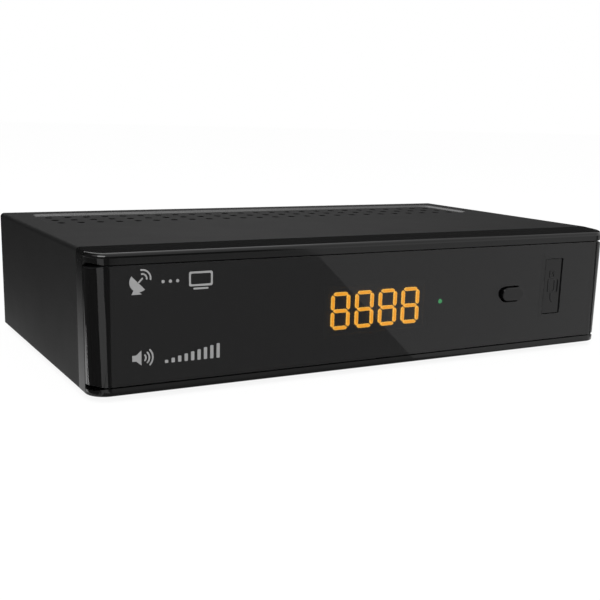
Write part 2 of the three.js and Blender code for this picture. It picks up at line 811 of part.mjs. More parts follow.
// One bar of a figure, pointed at both ends, lying along X or standing along Z
function segmentShape(x, z, length, upright) {
  const [half, tip] = [segmentWidth / 2, length / 2];
  const outline = [[-tip, 0], [half - tip, -half], [tip - half, -half], [tip, 0], [tip - half, half], [half - tip, half]];
  const shape = new THREE.Shape();
  outline.forEach(([along, across], i) => {
    const [px, pz] = upright ? [x + across, z + along] : [x + along, z + across];
    if (i === 0) shape.moveTo(px, pz);
    else shape.lineTo(px, pz);
  });
  return shape;
}

function figureShapes(x, z) {
  const reachX = (figureWidth - segmentWidth) / 2;
  const reachZ = (figureHeight - segmentWidth) / 2;
  const flat = 2 * reachX - 2 * segmentGap;
  const tall = reachZ - 2 * segmentGap;
  const levels = [-reachZ, 0, reachZ].map((dz) => segmentShape(x, z + dz, flat, false));
  const uprights = [-reachX, reachX].flatMap((dx) => [-1, 1].map((side) => {
    return segmentShape(x + dx, z + side * reachZ / 2, tall, true);
  }));
  return [...levels, ...uprights];
}

function makeLightGuide() {
  const back = bezelFace + displayPocket;
  const plateYs = [back - segmentBacking, back];
  const barYs = [plateYs[0] - segmentRise, back];
  const plate = block(around(displayPlaceX, guideWidth), plateYs, around(displayPlaceZ, guideHeight));
  const figures = Array.from({ length: figureCount }, (unused, i) => {
    return displayPlaceX + (i - (figureCount - 1) / 2) * figurePitch;
  });
  const bars = figures.flatMap((x) => figureShapes(x, displayPlaceZ)).map((shape) => prismY(shape, barYs));
  return united([plate, ...bars]);
}

// Status lamp: a chip lamp on the board and the clear pipe that brings its light forward

function makeLightPipe() {
  const flangeYs = [bezelInner + fit, bezelInner + fit + pipeFlange];
  const rod = rodY(pipeRadius, [bezelFace, flangeYs[1] + pipeTail], lampPlaceX, lampPlaceZ);
  return rod.add(rodY(pipeFlangeRadius, flangeYs, lampPlaceX, lampPlaceZ));
}

function makeLamp() {
  const pipeEnd = bezelInner + fit + pipeFlange + pipeTail;
  const ys = [Math.max(frontBoardFace - lampHeight, pipeEnd + fit), frontBoardFace];
  return block(around(lampPlaceX, lampWidth), ys, around(lampPlaceZ, lampWidth));
}

function makeEye() {
  const body = block(around(eyePlaceX, eyeWidth), [frontBoardFace - eyeDepth, frontBoardFace],
    around(lampPlaceZ, eyeHeight));
  const lens = rodY(eyeLensRadius, [frontBoardFace - eyeDepth - eyeLensReach, frontBoardFace], eyePlaceX, lampPlaceZ);
  return body.add(lens);
}

function makeFrontBoard() {
  const board = block([frontBoardLeft, frontBoardRight], [frontBoardFace, frontBoardBack],
    [frontBoardBottom, frontBoardTop]);
  const ys = [frontBoardFace - overrun, frontBoardBack + overrun];
  return cutBy(board, frontScrews.map(([x, z]) => rodY(frontScrewShankRadius + fit, ys, x, z)));
}

// Ribbon from the front board's back down to a header on the main board

const linkX = boardHalfWidth * linkPlaceShare;
const linkTop = boardTop + linkHeaderHeight;
const linkStart = linkTop + (frontBoardTop - linkTop) * linkRiseShare;
const linkY = boardFront + linkGap;

function makeLinkHeader() {
  const width = linkWidth + 2 * linkHeaderMargin;
  return block(around(linkX, width), around(linkY, linkHeaderDepth), [boardTop, linkTop]);
}

function makeLinkCable() {
  const half = linkThickness / 2;
  const shape = new THREE.Shape();
  shape.moveTo(frontBoardBack, linkStart - half);
  shape.lineTo(linkY - linkBend, linkStart - half);
  shape.absarc(linkY - linkBend, linkStart - linkBend, linkBend - half, Math.PI / 2, 0, true);
  shape.lineTo(linkY - half, linkTop);
  shape.lineTo(linkY + half, linkTop);
  shape.absarc(linkY - linkBend, linkStart - linkBend, linkBend + half, 0, Math.PI / 2, false);
  shape.lineTo(frontBoardBack, linkStart + half);
  return prismX(shape, around(linkX, linkWidth));
}

// Main board

function makeBoard() {
  const board = block([-boardHalfWidth, boardHalfWidth], [boardFront, boardRear], [boardLift, boardTop]);
  const zs = [boardLift - overrun, boardTop + overrun];
  return cutBy(board, boardScrews.map(([x, y]) => rodZ(screwShankRadius + fit, zs, x, y)));
}

// Screws, drawn standing on their heads' undersides with the shank down

function screwSolid(shankRadius, headRadius, headHeight, length) {
  const crown = headHeight / 2;
  const screw = turnedZ([
    [0, -length], [shankRadius, -length], [shankRadius, 0], [headRadius, 0],
    [headRadius, crown], [headRadius - crown / 2, headHeight], [0, headHeight],
  ], plainSides);
  const zs = [headHeight - crossDepth, headHeight + overrun];
  const cross = block(around(0, crossLength), around(0, crossWidth), zs)
    .add(block(around(0, crossWidth), around(0, crossLength), zs));
  return screw.subtract(cross);
}

// Feet

function makeFoot() {
  return turnedZ([
    [0, 0], [footRadius - footChamfer, 0], [footRadius, footChamfer], [footRadius, footHeight], [0, footHeight],
  ], fineSides);
}

// Front socket: a folded steel shell round a moulded core that stands on the board

const portShellBottom = flapPlaceZ - portHeight / 2;

function makePortShell() {
  const ys = [portFront, portFront + portDepth];
  const outer = block(around(flapPlaceX, portWidth), ys, around(flapPlaceZ, portHeight));
  return outer.subtract(block(around(flapPlaceX, portWidth - 2 * portWall),
    [ys[0] - overrun, ys[1] + overrun], around(flapPlaceZ, portHeight - 2 * portWall)));
}

function makePortCore() {
  const rear = portFront + portDepth;
  const innerWidth = portWidth - 2 * portWall - 2 * fit;
  const innerHeight = portHeight - 2 * portWall - 2 * fit;
  const plug = block(around(flapPlaceX, innerWidth), [rear - portPlug, rear + portHeel],
    around(flapPlaceZ, innerHeight));
  const tongueX = flapPlaceX + innerWidth / 2 - portTongueMargin - portTongue / 2;
  const tongue = block(around(tongueX, portTongue), [rear - portPlug - portTongueDepth, rear],
    around(flapPlaceZ, innerHeight - 2 * portTongueMargin));
  const heel = block(around(flapPlaceX, portWidth), [rear + fit, rear + portHeel],
    [boardTop, flapPlaceZ + portHeight / 2]);
  const base = block(around(flapPlaceX, portWidth), [boardFront, rear + portHeel], [boardTop, portShellBottom]);
  return united([plug, tongue, heel, base]);
}

// Tuner: a folded screening frame with a divider, closed by a lid

const aerialRoot = panelInner - fit - aerialFlange;
const tunerYs = [aerialRoot - tunerDepth, aerialRoot];
const tunerTop = boardTop + tunerHeight;

function makeTunerFrame() {
  const outer = block(around(aerialX, tunerWidth), tunerYs, [boardTop, tunerTop]);
  const room = block(around(aerialX, tunerWidth - 2 * tunerSheet),
    [tunerYs[0] + tunerSheet, tunerYs[1] - tunerSheet], [boardTop - overrun, tunerTop + overrun]);
  const dividerY = tunerYs[0] + tunerDepth * tunerDividerShare;
  const divider = block(around(aerialX, tunerWidth - tunerSheet), around(dividerY, tunerSheet),
    [boardTop, tunerTop]);
  return outer.subtract(room).add(divider);
}

function makeTunerLid() {
  const margin = fit + tunerSheet;
  const outerYs = [tunerYs[0] - margin, tunerYs[1]];
  const zs = [tunerTop - tunerLidLip, tunerTop + tunerSheet];
  const outer = block(around(aerialX, tunerWidth + 2 * margin), outerYs, zs);
  const room = block(around(aerialX, tunerWidth + 2 * fit), [tunerYs[0] - fit, tunerYs[1] + overrun],
    [zs[0] - overrun, tunerTop]);
  const middleY = (tunerYs[0] + tunerYs[1]) / 2;
  const holes = tunerHoleShares.map(([xShare, yShare]) => rodZ(tunerHoleRadius,
    [tunerTop - overrun, tunerTop + overrun], aerialX + tunerWidth * xShare, middleY + tunerDepth * yShare));
  return cutBy(outer, [room, ...holes]);
}

// Turned along Y: a profile of [radius, distance from the start] pairs
function turnedY(profile, x, y, z, sides) {
  return turnedZ(profile, sides).rotate([-90, 0, 0]).translate([x, y, z]);
}

function makeAerialSocket() {
  const length = aerialFlange + fit + sheet + aerialReach;
  return turnedY([
    [0, 0], [aerialFlangeRadius, 0], [aerialFlangeRadius, aerialFlange], [aerialRadius, aerialFlange],
    [aerialRadius, length], [aerialBoreRadius, length], [aerialBoreRadius, length - aerialBoreDepth],
    [aerialContactRadius, length - aerialBoreDepth], [aerialContactRadius, length - aerialContactDepth],
    [0, length - aerialContactDepth],
  ], aerialX, aerialRoot, aerialZ, fineSides);
}

function makeAerialNut() {
  const corner = nutAcrossFlats / Math.sqrt(3);
  const ys = [caseDepth, caseDepth + nutThickness];
  const nut = rodY(corner, ys, aerialX, aerialZ, 6);
  return nut.subtract(rodY(aerialRadius + fit, [ys[0] - overrun, ys[1] + overrun], aerialX, aerialZ, fineSides));
}

// Round audio socket: a moulded body, and the plated sleeve that the plug grips

const audioRear = panelInner - fit;

function makeAudioBody() {
  const body = block(around(audioX, audioWidth), [audioRear - audioDepth, audioRear],
    [boardTop, boardTop + audioHeight]);
  const coreEnd = caseDepth + audioSleeveReach - audioCoreInset;
  const core = rodY(audioCoreRadius, [audioRear - audioDepth, coreEnd], audioX, audioZ, fineSides);
  const sleeveRoom = rodY(audioSleeveRadius + fit, [audioRear - audioSleeveTail, audioRear + overrun],
    audioX, audioZ, fineSides);
  const contact = rodY(audioContactRadius, [audioRear, coreEnd + overrun], audioX, audioZ);
  return body.subtract(sleeveRoom).add(core).subtract(contact);
}

function makeAudioSleeve() {
  const ys = [audioRear - audioSleeveTail, caseDepth + audioSleeveReach];
  const sleeve = rodY(audioSleeveRadius, ys, audioX, audioZ, fineSides);
  const bore = [ys[0] - overrun, ys[1] + overrun];
  return sleeve.subtract(rodY(audioBoreRadius, bore, audioX, audioZ, fineSides));
}

// Picture socket: a folded shell and a moulded tongue

const videoRear = caseDepth + videoReach;

function makeVideoShell() {
  const ys = [videoRear - videoDepth, videoRear];
  const bore = [ys[0] - overrun, ys[1] + overrun];
  return prismY(videoOutline(0), ys).subtract(prismY(videoOutline(-videoWall), bore));
}

function makeVideoCore() {
  const front = videoRear - videoDepth;
  const plug = prismY(videoOutline(-videoWall - fit), [front, front + videoPlug]);
  const tongue = block(around(videoX, videoWidth - 2 * videoTongueMargin - 2 * videoWall),
    [front, front + videoPlug + videoTongueDepth - videoReach], around(videoZ, videoTongue));
  return plug.add(tongue);
}

// Wide television socket: a moulded core with two rows of slots inside a steel shield

const scartRear = caseDepth + scartReach;

function makeScartShield() {
  const ys = [scartRear - scartShieldDepth, scartRear];
  const bore = [ys[0] - overrun, ys[1] + overrun];
  return prismY(scartOutline(0), ys).subtract(prismY(scartOutline(-scartShieldWall), bore));
}

function makeScartCore() {
  const face = scartRear - scartCoreRecess;
  const nose = prismY(scartOutline(-scartShieldWall - fit), [scartRear - scartDepth, face]);
  const backYs = [scartRear - scartDepth, scartRear - scartShieldDepth - fit];
  const back = block(around(scartX, scartWidth), backYs, [boardTop, scartZ + scartHeight / 2]);
  const slotYs = [face - scartSlotDepth, face + overrun];
  const slots = [];
  for (let i = 0; i < scartSlotCount; i += 1) {
    for (const row of [-1, 1]) {
      const x = scartX + (i - (scartSlotCount - 1) / 2 + row / 4) * scartSlotPitch;
      slots.push(block(around(x, scartSlotWidth), slotYs,
        around(scartZ + row * scartRowPitch / 2, scartSlotHeight)));
    }
  }
  return cutBy(nose.add(back), slots);
}

// Power socket: a moulded body with a round mouth, and its centre pin

function makePowerBody() {
  const body = block(around(powerX, powerWidth), [audioRear - powerDepth, audioRear],
    [boardTop, boardTop + powerHeight]);
  const mouth = caseDepth + powerReach;
  const neck = rodY(powerNeckRadius, [audioRear - overrun, mouth], powerX, powerZ, fineSides);
  const bore = rodY(powerBoreRadius, [mouth - powerBoreDepth, mouth + overrun], powerX, powerZ, fineSides);
  return body.add(neck).subtract(bore);
}

function makePowerPin() {
  const floor = caseDepth + powerReach - powerBoreDepth;
  return rodY(powerPinRadius, [floor, floor + powerPinReach], powerX, powerZ);
}

// Components, each drawn on the origin and standing on the board

function chipSolid(width, length, height) {
  return block(around(0, width), around(0, length), [0, height]);
}

function heatSinkSolid() {
  const base = chipSolid(sinkSide, sinkSide, sinkBase);
  const step = (sinkSide - finThickness) / (finCount - 1);
  const fins = Array.from({ length: finCount }, (unused, i) => {
    const x = (finThickness - sinkSide) / 2 + i * step;
    return block(around(x, finThickness), around(0, sinkSide), [0, sinkHeight]);
  });
  return united([base, ...fins]);
}

function coilSolid() {
  const lidHeight = coilHeight / 4;
  const plates = [[0, lidHeight], [coilHeight - lidHeight, coilHeight]].map((zs) => {
    return block(around(0, coilSide), around(0, coilSide), zs);
  });
  return united([...plates, rodZ(coilCoreRadius, [0, coilHeight], 0, 0)]);
}

function canSolid() {
  const can = turnedZ([
    [0, 0], [canRadius, 0], [canRadius, canHeight - canEdge], [canRadius - canEdge, canHeight], [0, canHeight],
  ], plainSides);
  const zs = [canHeight - canVentDepth, canHeight + overrun];
  const cross = block(around(0, canRadius), around(0, canVentWidth), zs)
    .add(block(around(0, canVentWidth), around(0, canRadius), zs));
  return can.subtract(cross);
}

// Materials

function finish(color, roughness, metalness, more = {}) {
  return new THREE.MeshStandardMaterial({ color, roughness, metalness, ...more });
}

const finishes = {
  blackSteel: finish('#2b2b2b', 0.5, 0.1),
  bareSteel: finish('#a9abad', 0.35, 1),
  glossBlack: finish('#161616', 0.1, 0),
  smokedPlate: finish('#1b1b1c', 0.05, 0, { transparent: true, opacity: 0.75 }),
  mattBlack: finish('#1c1c1c', 0.6, 0),
  rubber: finish('#141414', 0.9, 0),
  board: finish('#1f5a34', 0.5, 0),
  chip: finish('#202022', 0.5, 0),
  amber: finish('#faa82a', 0.4, 0, { emissive: '#faa82a' }),
  green: finish('#3cc06a', 0.4, 0, { emissive: '#3cc06a' }),
  clear: finish('#dfe8e4', 0.1, 0, { transparent: true, opacity: 0.5 }),
  tin: finish('#b9bbbd', 0.3, 1),
  plated: finish('#c7c9cb', 0.2, 1),
  aluminium: finish('#b6b8ba', 0.45, 1),
  ribbon: finish('#d8d6cf', 0.7, 0),
  white: finish('#d8d8d4', 0.6, 0),
  orange: finish('#d9751f', 0.4, 0),
};

function piece(name, solid, material, position = [0, 0, 0], rotation = [0, 0, 0]) {
  const mesh = new THREE.Mesh(geometryOf(solid), finishes[material]);
  mesh.name = name;
  mesh.position.set(...position);
  mesh.rotation.set(...rotation);
  return mesh;
}

function groupOf(pieces) {
  const group = new THREE.Group();
  group.add(...pieces);
  return group;
}

// Case

const corners = [['front', 'left'], ['front', 'right'], ['rear', 'left'], ['rear', 'right']];
const foot = makeFoot();
const feet = corners.map(([row, side]) => {
  const x = (halfWidth - footInset) * (side === 'left' ? -1 : 1);
  const y = row === 'front' ? bezelDepth + fit + footInset : caseDepth - footInset;
  return piece(`foot_${row}_${side}`, foot, 'rubber', [x, y, -footHeight]);
});

const coverScrew = screwSolid(screwShankRadius, screwHeadRadius, screwHeadHeight, coverScrewLength);
const coverScrewPieces = coverScrewXs.map((x, i) => {
  return piece(`cover_screw_${i + 1}`, coverScrew, 'blackSteel', [x, caseDepth, coverScrewZ], [-Math.PI / 2, 0, 0]);
});

const casePieces = groupOf([
  piece('base_tray', makeTray(), 'blackSteel'),
  piece('top_cover', makeCover(), 'blackSteel'),
  piece('front_bezel', makeBezel(), 'glossBlack'),
  piece('front_plate', makePlate(), 'smokedPlate'),
  piece('socket_flap', makeFlap(), 'glossBlack'),
  piece('standby_button', makeButton(), 'glossBlack'),
  ...feet,
  ...coverScrewPieces,
]);

// Front electronics

const frontScrew = screwSolid(frontScrewShankRadius, frontScrewHeadRadius, frontScrewHeadHeight, frontScrewLength);
const frontScrewPieces = frontScrews.map(([x, z], i) => {
  return piece(`front_board_screw_${i + 1}`, frontScrew, 'bareSteel', [x, frontBoardBack, z], [-Math.PI / 2, 0, 0]);
});

const frontPieces = groupOf([
  piece('front_board', makeFrontBoard(), 'board'),
  piece('display_housing', makeDisplayHousing(), 'mattBlack'),
  piece('display_light_guide', makeLightGuide(), 'amber'),
  piece('status_light_pipe', makeLightPipe(), 'clear'),
  piece('status_lamp', makeLamp(), 'green'),
  piece('infrared_receiver', makeEye(), 'chip'),
  piece('switch_body', makeSwitch(), 'mattBlack'),
  piece('switch_plunger', makePlunger(), 'white'),
  piece('link_cable', makeLinkCable(), 'ribbon'),
  ...frontScrewPieces,
]);

// Main board and what stands on it

function onBoardAt(name, solid, material, shares) {
  return piece(name, solid, material, [...onBoard(shares), boardTop]);
}

const boardScrew = screwSolid(screwShankRadius, screwHeadRadius, screwHeadHeight, boardScrewLength);
const boardScrewPieces = boardScrews.map((place, i) => {
  return piece(`board_screw_${i + 1}`, boardScrew, 'bareSteel', [...place, boardTop]);
});
const can = canSolid();
const canPieces = canPlaceShares.map((shares, i) => onBoardAt(`capacitor_${i + 1}`, can, 'aluminium', shares));
const sinkPlace = [...onBoard(processorPlaceShares), boardTop + processorHeight];

const boardPieces = groupOf([
  piece('main_board', makeBoard(), 'board'),
  ...boardScrewPieces,
  onBoardAt('processor', chipSolid(processorSide, processorSide, processorHeight), 'chip', processorPlaceShares),
  piece('heat_sink', heatSinkSolid(), 'aluminium', sinkPlace),
  onBoardAt('memory_chip', chipSolid(memoryWidth, memoryLength, memoryHeight), 'chip', memoryPlaceShares),
  onBoardAt('flash_chip', chipSolid(flashWidth, flashLength, flashHeight), 'chip', flashPlaceShares),
  onBoardAt('crystal', chipSolid(crystalWidth, crystalLength, crystalHeight), 'tin', crystalPlaceShares),
  onBoardAt('regulator', chipSolid(regulatorWidth, regulatorLength, regulatorHeight), 'chip', regulatorPlaceShares),
  onBoardAt('power_coil', coilSolid(), 'chip', coilPlaceShares),
  ...canPieces,
  piece('link_header', makeLinkHeader(), 'white'),
]);

// Sockets

const socketPieces = groupOf([
  piece('data_socket_shell', makePortShell(), 'plated'),
  piece('data_socket_core', makePortCore(), 'mattBlack'),
  piece('tuner_frame', makeTunerFrame(), 'tin'),
  piece('tuner_lid', makeTunerLid(), 'tin'),
  piece('aerial_socket', makeAerialSocket(), 'plated'),
  piece('aerial_nut', makeAerialNut(), 'plated'),
  piece('audio_socket_body', makeAudioBody(), 'orange'),
  piece('audio_socket_sleeve', makeAudioSleeve(), 'plated'),
  piece('video_socket_shell', makeVideoShell(), 'plated'),
  piece('video_socket_core', makeVideoCore(), 'mattBlack'),
  piece('television_socket_shield', makeScartShield(), 'plated'),
  piece('television_socket_core', makeScartCore(), 'mattBlack'),
  piece('power_socket_body', makePowerBody(), 'mattBlack'),
  piece('power_socket_pin', makePowerPin(), 'plated'),
]);

// The whole receiver stands on its feet, with its middle over the origin

const rearmost = caseDepth + aerialReach;
const receiver = groupOf([casePieces, frontPieces, boardPieces, socketPieces]);
receiver.position.set(0, (buttonProud - rearmost) / 2, footHeight);

export default groupOf([receiver]);
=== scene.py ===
# %% [markdown]
# # A small satellite television receiver
#
# The CAD model already holds every solid at its real size, so this lesson only dresses it. First
# comes the camera, then the finishes, then the pieces that need a finer surface than the CAD gives,
# and last the studio. The case is folded steel, the front is moulded ABS, and a smoked acrylic
# plate covers it.

# %% Load the frame
import math

import bmesh
import bpy
from mathutils import Matrix, Vector


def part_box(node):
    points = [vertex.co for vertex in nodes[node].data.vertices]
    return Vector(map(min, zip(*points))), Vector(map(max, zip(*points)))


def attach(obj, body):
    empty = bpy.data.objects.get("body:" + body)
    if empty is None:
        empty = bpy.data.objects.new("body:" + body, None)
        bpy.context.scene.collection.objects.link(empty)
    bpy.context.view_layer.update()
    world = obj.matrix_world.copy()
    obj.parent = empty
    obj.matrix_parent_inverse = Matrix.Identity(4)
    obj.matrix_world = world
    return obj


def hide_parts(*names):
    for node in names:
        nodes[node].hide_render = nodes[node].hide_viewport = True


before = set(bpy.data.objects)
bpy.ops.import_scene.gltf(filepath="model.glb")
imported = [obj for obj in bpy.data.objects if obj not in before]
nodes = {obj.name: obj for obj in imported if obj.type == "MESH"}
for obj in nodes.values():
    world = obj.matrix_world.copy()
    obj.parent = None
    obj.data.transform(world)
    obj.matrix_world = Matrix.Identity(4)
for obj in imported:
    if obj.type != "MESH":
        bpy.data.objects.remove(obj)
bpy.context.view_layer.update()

# %% [markdown]
# ## One place to measure from
#
# A case designer measures from the front face and from the underside. The same is done here, in
# millimetres: X from the middle, Y back from the face of the plate, Z up from the tray. One matrix
# turns that into the frame's metres, so every size below reads as it would on a drawing.

# %% The case's own millimetres
MM = 0.001
face_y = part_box("front_plate")[0][1]
tray_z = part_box("base_tray")[0][2]
CASE = Matrix.Translation((0, face_y, tray_z)) @ Matrix.Scale(MM, 4)
print("front face at", round(face_y, 5), "underside at", round(tray_z, 5))


def in_case(point):
    """A point of the frame, in case millimetres."""
    return CASE.inverted() @ Vector(point)


def middle_of(node):
    """The middle of a CAD node's box, in case millimetres."""
    low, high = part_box(node)
    return in_case((Vector(low) + Vector(high)) / 2)


# %% [markdown]
# ## The camera
#
# The photograph was measured by its straight edges: they give the lens, and where it stood. It
# looked down by 13 degrees, from a quarter metre away, with the box a little above the middle of
# the frame. That last part is a small upward shift of the sensor.

# %% Camera
PHOTO_SIDE = 600
SENSOR = 36
FOCAL_PIXELS = 958.4
AXIS_BELOW_MIDDLE = 40
EYE = Vector((-148.28, -218.25, 67.1))
yaw, pitch, roll = (math.radians(angle) for angle in (29.12, 13.02, 1.55))


def placed(name, data):
    """A new object in the scene."""
    made = bpy.data.objects.new(name, data)
    bpy.context.collection.objects.link(made)
    return made


ahead = Vector((math.sin(yaw) * math.cos(pitch), math.cos(yaw) * math.cos(pitch),
                -math.sin(pitch)))
level_right = Vector((math.cos(yaw), -math.sin(yaw), 0))
level_up = level_right.cross(ahead)
right = math.cos(roll) * level_right + math.sin(roll) * level_up
up = math.cos(roll) * level_up - math.sin(roll) * level_right
turn = Matrix((right, up, -ahead)).transposed().to_4x4()

camera_data = bpy.data.cameras.new("camera")
camera_data.sensor_width = SENSOR
camera_data.lens = FOCAL_PIXELS / PHOTO_SIDE * SENSOR
camera_data.shift_y = AXIS_BELOW_MIDDLE / PHOTO_SIDE
camera_data.clip_start = 0.01
camera = placed("camera", camera_data)
camera.matrix_world = Matrix.Translation(CASE @ EYE) @ turn
bpy.context.scene.camera = camera
bpy.context.scene.view_settings.view_transform = "Standard"
print("lens", round(camera_data.lens, 2), "mm, camera at",
      [round(v, 4) for v in camera.matrix_world.translation])

# %% [markdown]
# ## Making finishes
#
# Every finish here is a Principled shader with a few texture nodes in front of it. One small
# function adds a node with its settings and its links, a second one starts a material, a third
# makes noise of a real size, and a fourth lets such textures vary the colour, the roughness and the
# relief. Colours are written as a painter would pick them on a screen, in hex, and one function
# turns them to the linear values that the shader works in.

# %% Helpers for finishes


def linear(colour):
    """An sRGB hex colour as linear red, green, blue and alpha."""
    parts = [int(colour[i:i + 2], 16) / 255 for i in (1, 3, 5)]
    return [c / 12.92 if c <= 0.04045 else ((c + 0.055) / 1.055) ** 2.4 for c in parts] + [1]


def add(tree, kind, inputs=None, **settings):
    """Adds one node. Settings are its attributes, inputs are values, colours or outputs."""
    made = tree.nodes.new(kind)
    for name, value in settings.items():
        setattr(made, name, value)
    for key, value in (inputs or {}).items():
        socket = made.inputs[key]
        if isinstance(value, bpy.types.NodeSocket):
            tree.links.new(value, socket)
        else:
            socket.default_value = linear(value) if isinstance(value, str) else value
    return made


def empty_tree(owner):
    """The node tree of a new material or world, cleared."""
    owner.use_nodes = True
    owner.node_tree.nodes.clear()
    return owner.node_tree


def finish(name, **inputs):
    """A new material with a Principled shader. Returns the material, its tree and the shader."""
    made = bpy.data.materials.new(name)
    tree = empty_tree(made)
    shader = add(tree, "ShaderNodeBsdfPrincipled", inputs)
    add(tree, "ShaderNodeOutputMaterial", {"Surface": shader.outputs[0]})
    print("finish:", name)
    return made, tree, shader


def grain(tree, size_mm, detail=2.0, stretch=(1, 1, 1)):
    """Noise whose grains are about size_mm across, in the object's own metres."""
    place = add(tree, "ShaderNodeTexCoord")
    mapped = add(tree, "ShaderNodeMapping", {0: place.outputs["Object"], "Scale": stretch})
    noise = add(tree, "ShaderNodeTexNoise", {
        "Vector": mapped.outputs[0], "Scale": 1 / (size_mm * MM), "Detail": detail})
    return noise.outputs[0]


def vary(tree, shader, colour, roughness=None, bump=None):
    """Lets textures vary a finish, and returns its colour.

    Colour is a texture and two colours, roughness a texture and its least and greatest value, and
    bump a texture, its full height in millimetres and its strength.
    """
    pattern, first, last = colour
    tone = add(tree, "ShaderNodeMix", {"Factor": pattern, "A": first, "B": last}, data_type="RGBA")
    tree.links.new(tone.outputs["Result"], shader.inputs["Base Color"])
    if roughness:
        pattern, least, greatest = roughness
        spread = add(tree, "ShaderNodeMapRange", {
            "Value": pattern, "To Min": least, "To Max": greatest})
        tree.links.new(spread.outputs[0], shader.inputs["Roughness"])
    if bump:
        pattern, height_mm, strength = bump
        relief = add(tree, "ShaderNodeBump", {
            "Height": pattern, "Distance": height_mm * MM, "Strength": strength})
        tree.links.new(relief.outputs[0], shader.inputs["Normal"])
    return tone.outputs["Result"]


# %% [markdown]
# ## Steel with a satin black powder coat
#
# The lid and tray are 0.8 mm zinc-plated steel, sprayed with a thermosetting powder and baked. The
# coat flows out to a very shallow orange peel, about half a millimetre from dimple to dimple. To
# the eye that is a soft sheen with no clear reflection, a little uneven, so the roughness moves
# with a slow noise and the peel goes into the bump.

# %% Satin black powder coat
powder_coat, tree, shader = finish("satin black powder coat", IOR=1.3)
peel = grain(tree, 0.5, detail=3)
cloud = grain(tree, 14)
speck = grain(tree, 0.18, detail=1)
vary(tree, shader, (speck, "#171717", "#202020"), (cloud, 0.5, 0.58), (peel, 0.012, 0.6))

# %% [markdown]
# ## Powder coat on the slope round the vent field
#
# Round the vent field the sheet was drawn over the die. The coat on that slope is smoother than the
# flat, with a broken edge. It is also painted paler than the flat, as a painted highlight, and that
# paler line is what outlines the field from a low angle.

# %% Powder coat with a painted highlight on the slope
slope_highlight_coat, tree, shader = finish("powder coat with painted highlight", IOR=1.6)
slope_noise = grain(tree, 1.6, detail=4)
vary(tree, shader, (slope_noise, "#2e2e2e", "#4a4a4a"), (slope_noise, 0.22, 0.34))

# %% [markdown]
# ## Painted shade inside the slots
#
# Powder hardly reaches the walls of a small slot, because the charged grains settle on the nearest
# edge. What does reach them is thin, rough and dull. It is painted nearly black as painted shade,
# so the slots look plain black.

# %% Dull coat in the slots, painted dark as shade
slot_shade_coat, tree, shader = finish("dull slot coat with painted shade", IOR=1.2)
speck = grain(tree, 0.2)
vary(tree, shader, (speck, "#030303", "#080808"), (speck, 0.8, 0.95))

# %% [markdown]
# ## Polished black ABS
#
# The bezel comes out of a mirror-polished mould, so it is nearly as clear as paint. What tells it
# from glass is a faint waviness a few millimetres long, where the plastic shrank, and hairline
# marks from wiping.

# %% Polished black ABS
gloss_abs, tree, shader = finish("polished black ABS", IOR=1.46)
sink = grain(tree, 9, detail=1)
wipe = grain(tree, 0.35, detail=4, stretch=(1, 1, 9))
vary(tree, shader, (wipe, "#050505", "#090909"), (wipe, 0.05, 0.12), (sink, 0.004, 0.4))

# %% [markdown]
# ## Smoked acrylic
#
# The plate is PMMA with black dye: a lit figure behind it shows, an unlit one doesn't. Acrylic is
# polished, so the studio stands in it as in a dark mirror. It is made as a dyed clear body, with
# the dye as the base colour of a transmitting shader, and only the faintest wiping marks.

# %% Smoked acrylic
smoked_acrylic, tree, shader = finish("smoked acrylic", IOR=1.49, **{"Transmission Weight": 1.0})
wipe = grain(tree, 0.5, detail=4, stretch=(9, 1, 1))
haze = grain(tree, 22, detail=1)
vary(tree, shader, (haze, "#3a3a3b", "#3e3e3f"), (wipe, 0.0, 0.02))

# %% [markdown]
# ## Lit amber and green
#
# The figures are cavities in a white housing, filled with clear epoxy full of diffusing powder, and
# lit from behind by amber chips. The middle of a bar, right over its chip, is a deeper orange, and
# the rim is yellower. The glow has to get through the dyed plate, so it is far stronger than it
# looks from outside. The green dot is the end of a clear pipe, over a green chip.

# %% Amber light guide
amber_glow, tree, shader = finish("amber epoxy light guide", Roughness=0.35,
                                  **{"Emission Strength": 19.0})
powder = grain(tree, 0.5)
over_chip = add(tree, "ShaderNodeAttribute", attribute_name="chip")
mottled = add(tree, "ShaderNodeMath", {0: over_chip.outputs["Fac"], 1: 0.85, 2: powder},
              operation="MULTIPLY_ADD")
share = add(tree, "ShaderNodeMapRange", {
    "Value": mottled.outputs[0], "From Min": 0.35, "From Max": 1.35})
amber = vary(tree, shader, (share.outputs[0], "#ffc34c", "#ffa412"))
tree.links.new(amber, shader.inputs["Emission Color"])

# %% Green light pipe
green_glow, tree, shader = finish("green light pipe end", Roughness=0.3,
                                  **{"Emission Strength": 11.0})
green = vary(tree, shader, (grain(tree, 0.6), "#2fae5c", "#63d68a"))
tree.links.new(green, shader.inputs["Emission Color"])

# %% [markdown]
# ## Plastics inside and at the back
#
# Sockets are moulded from glass-filled PBT, switches and display housings from ABS, headers from
# nylon. All of them leave the mould with a fine spark-eroded texture, a tenth of a millimetre
# coarse, which keeps them matt. They differ in colour and in how rough the texture is, so one loop
# makes the set: two colours, the roughness, and the texture's grain in millimetres.

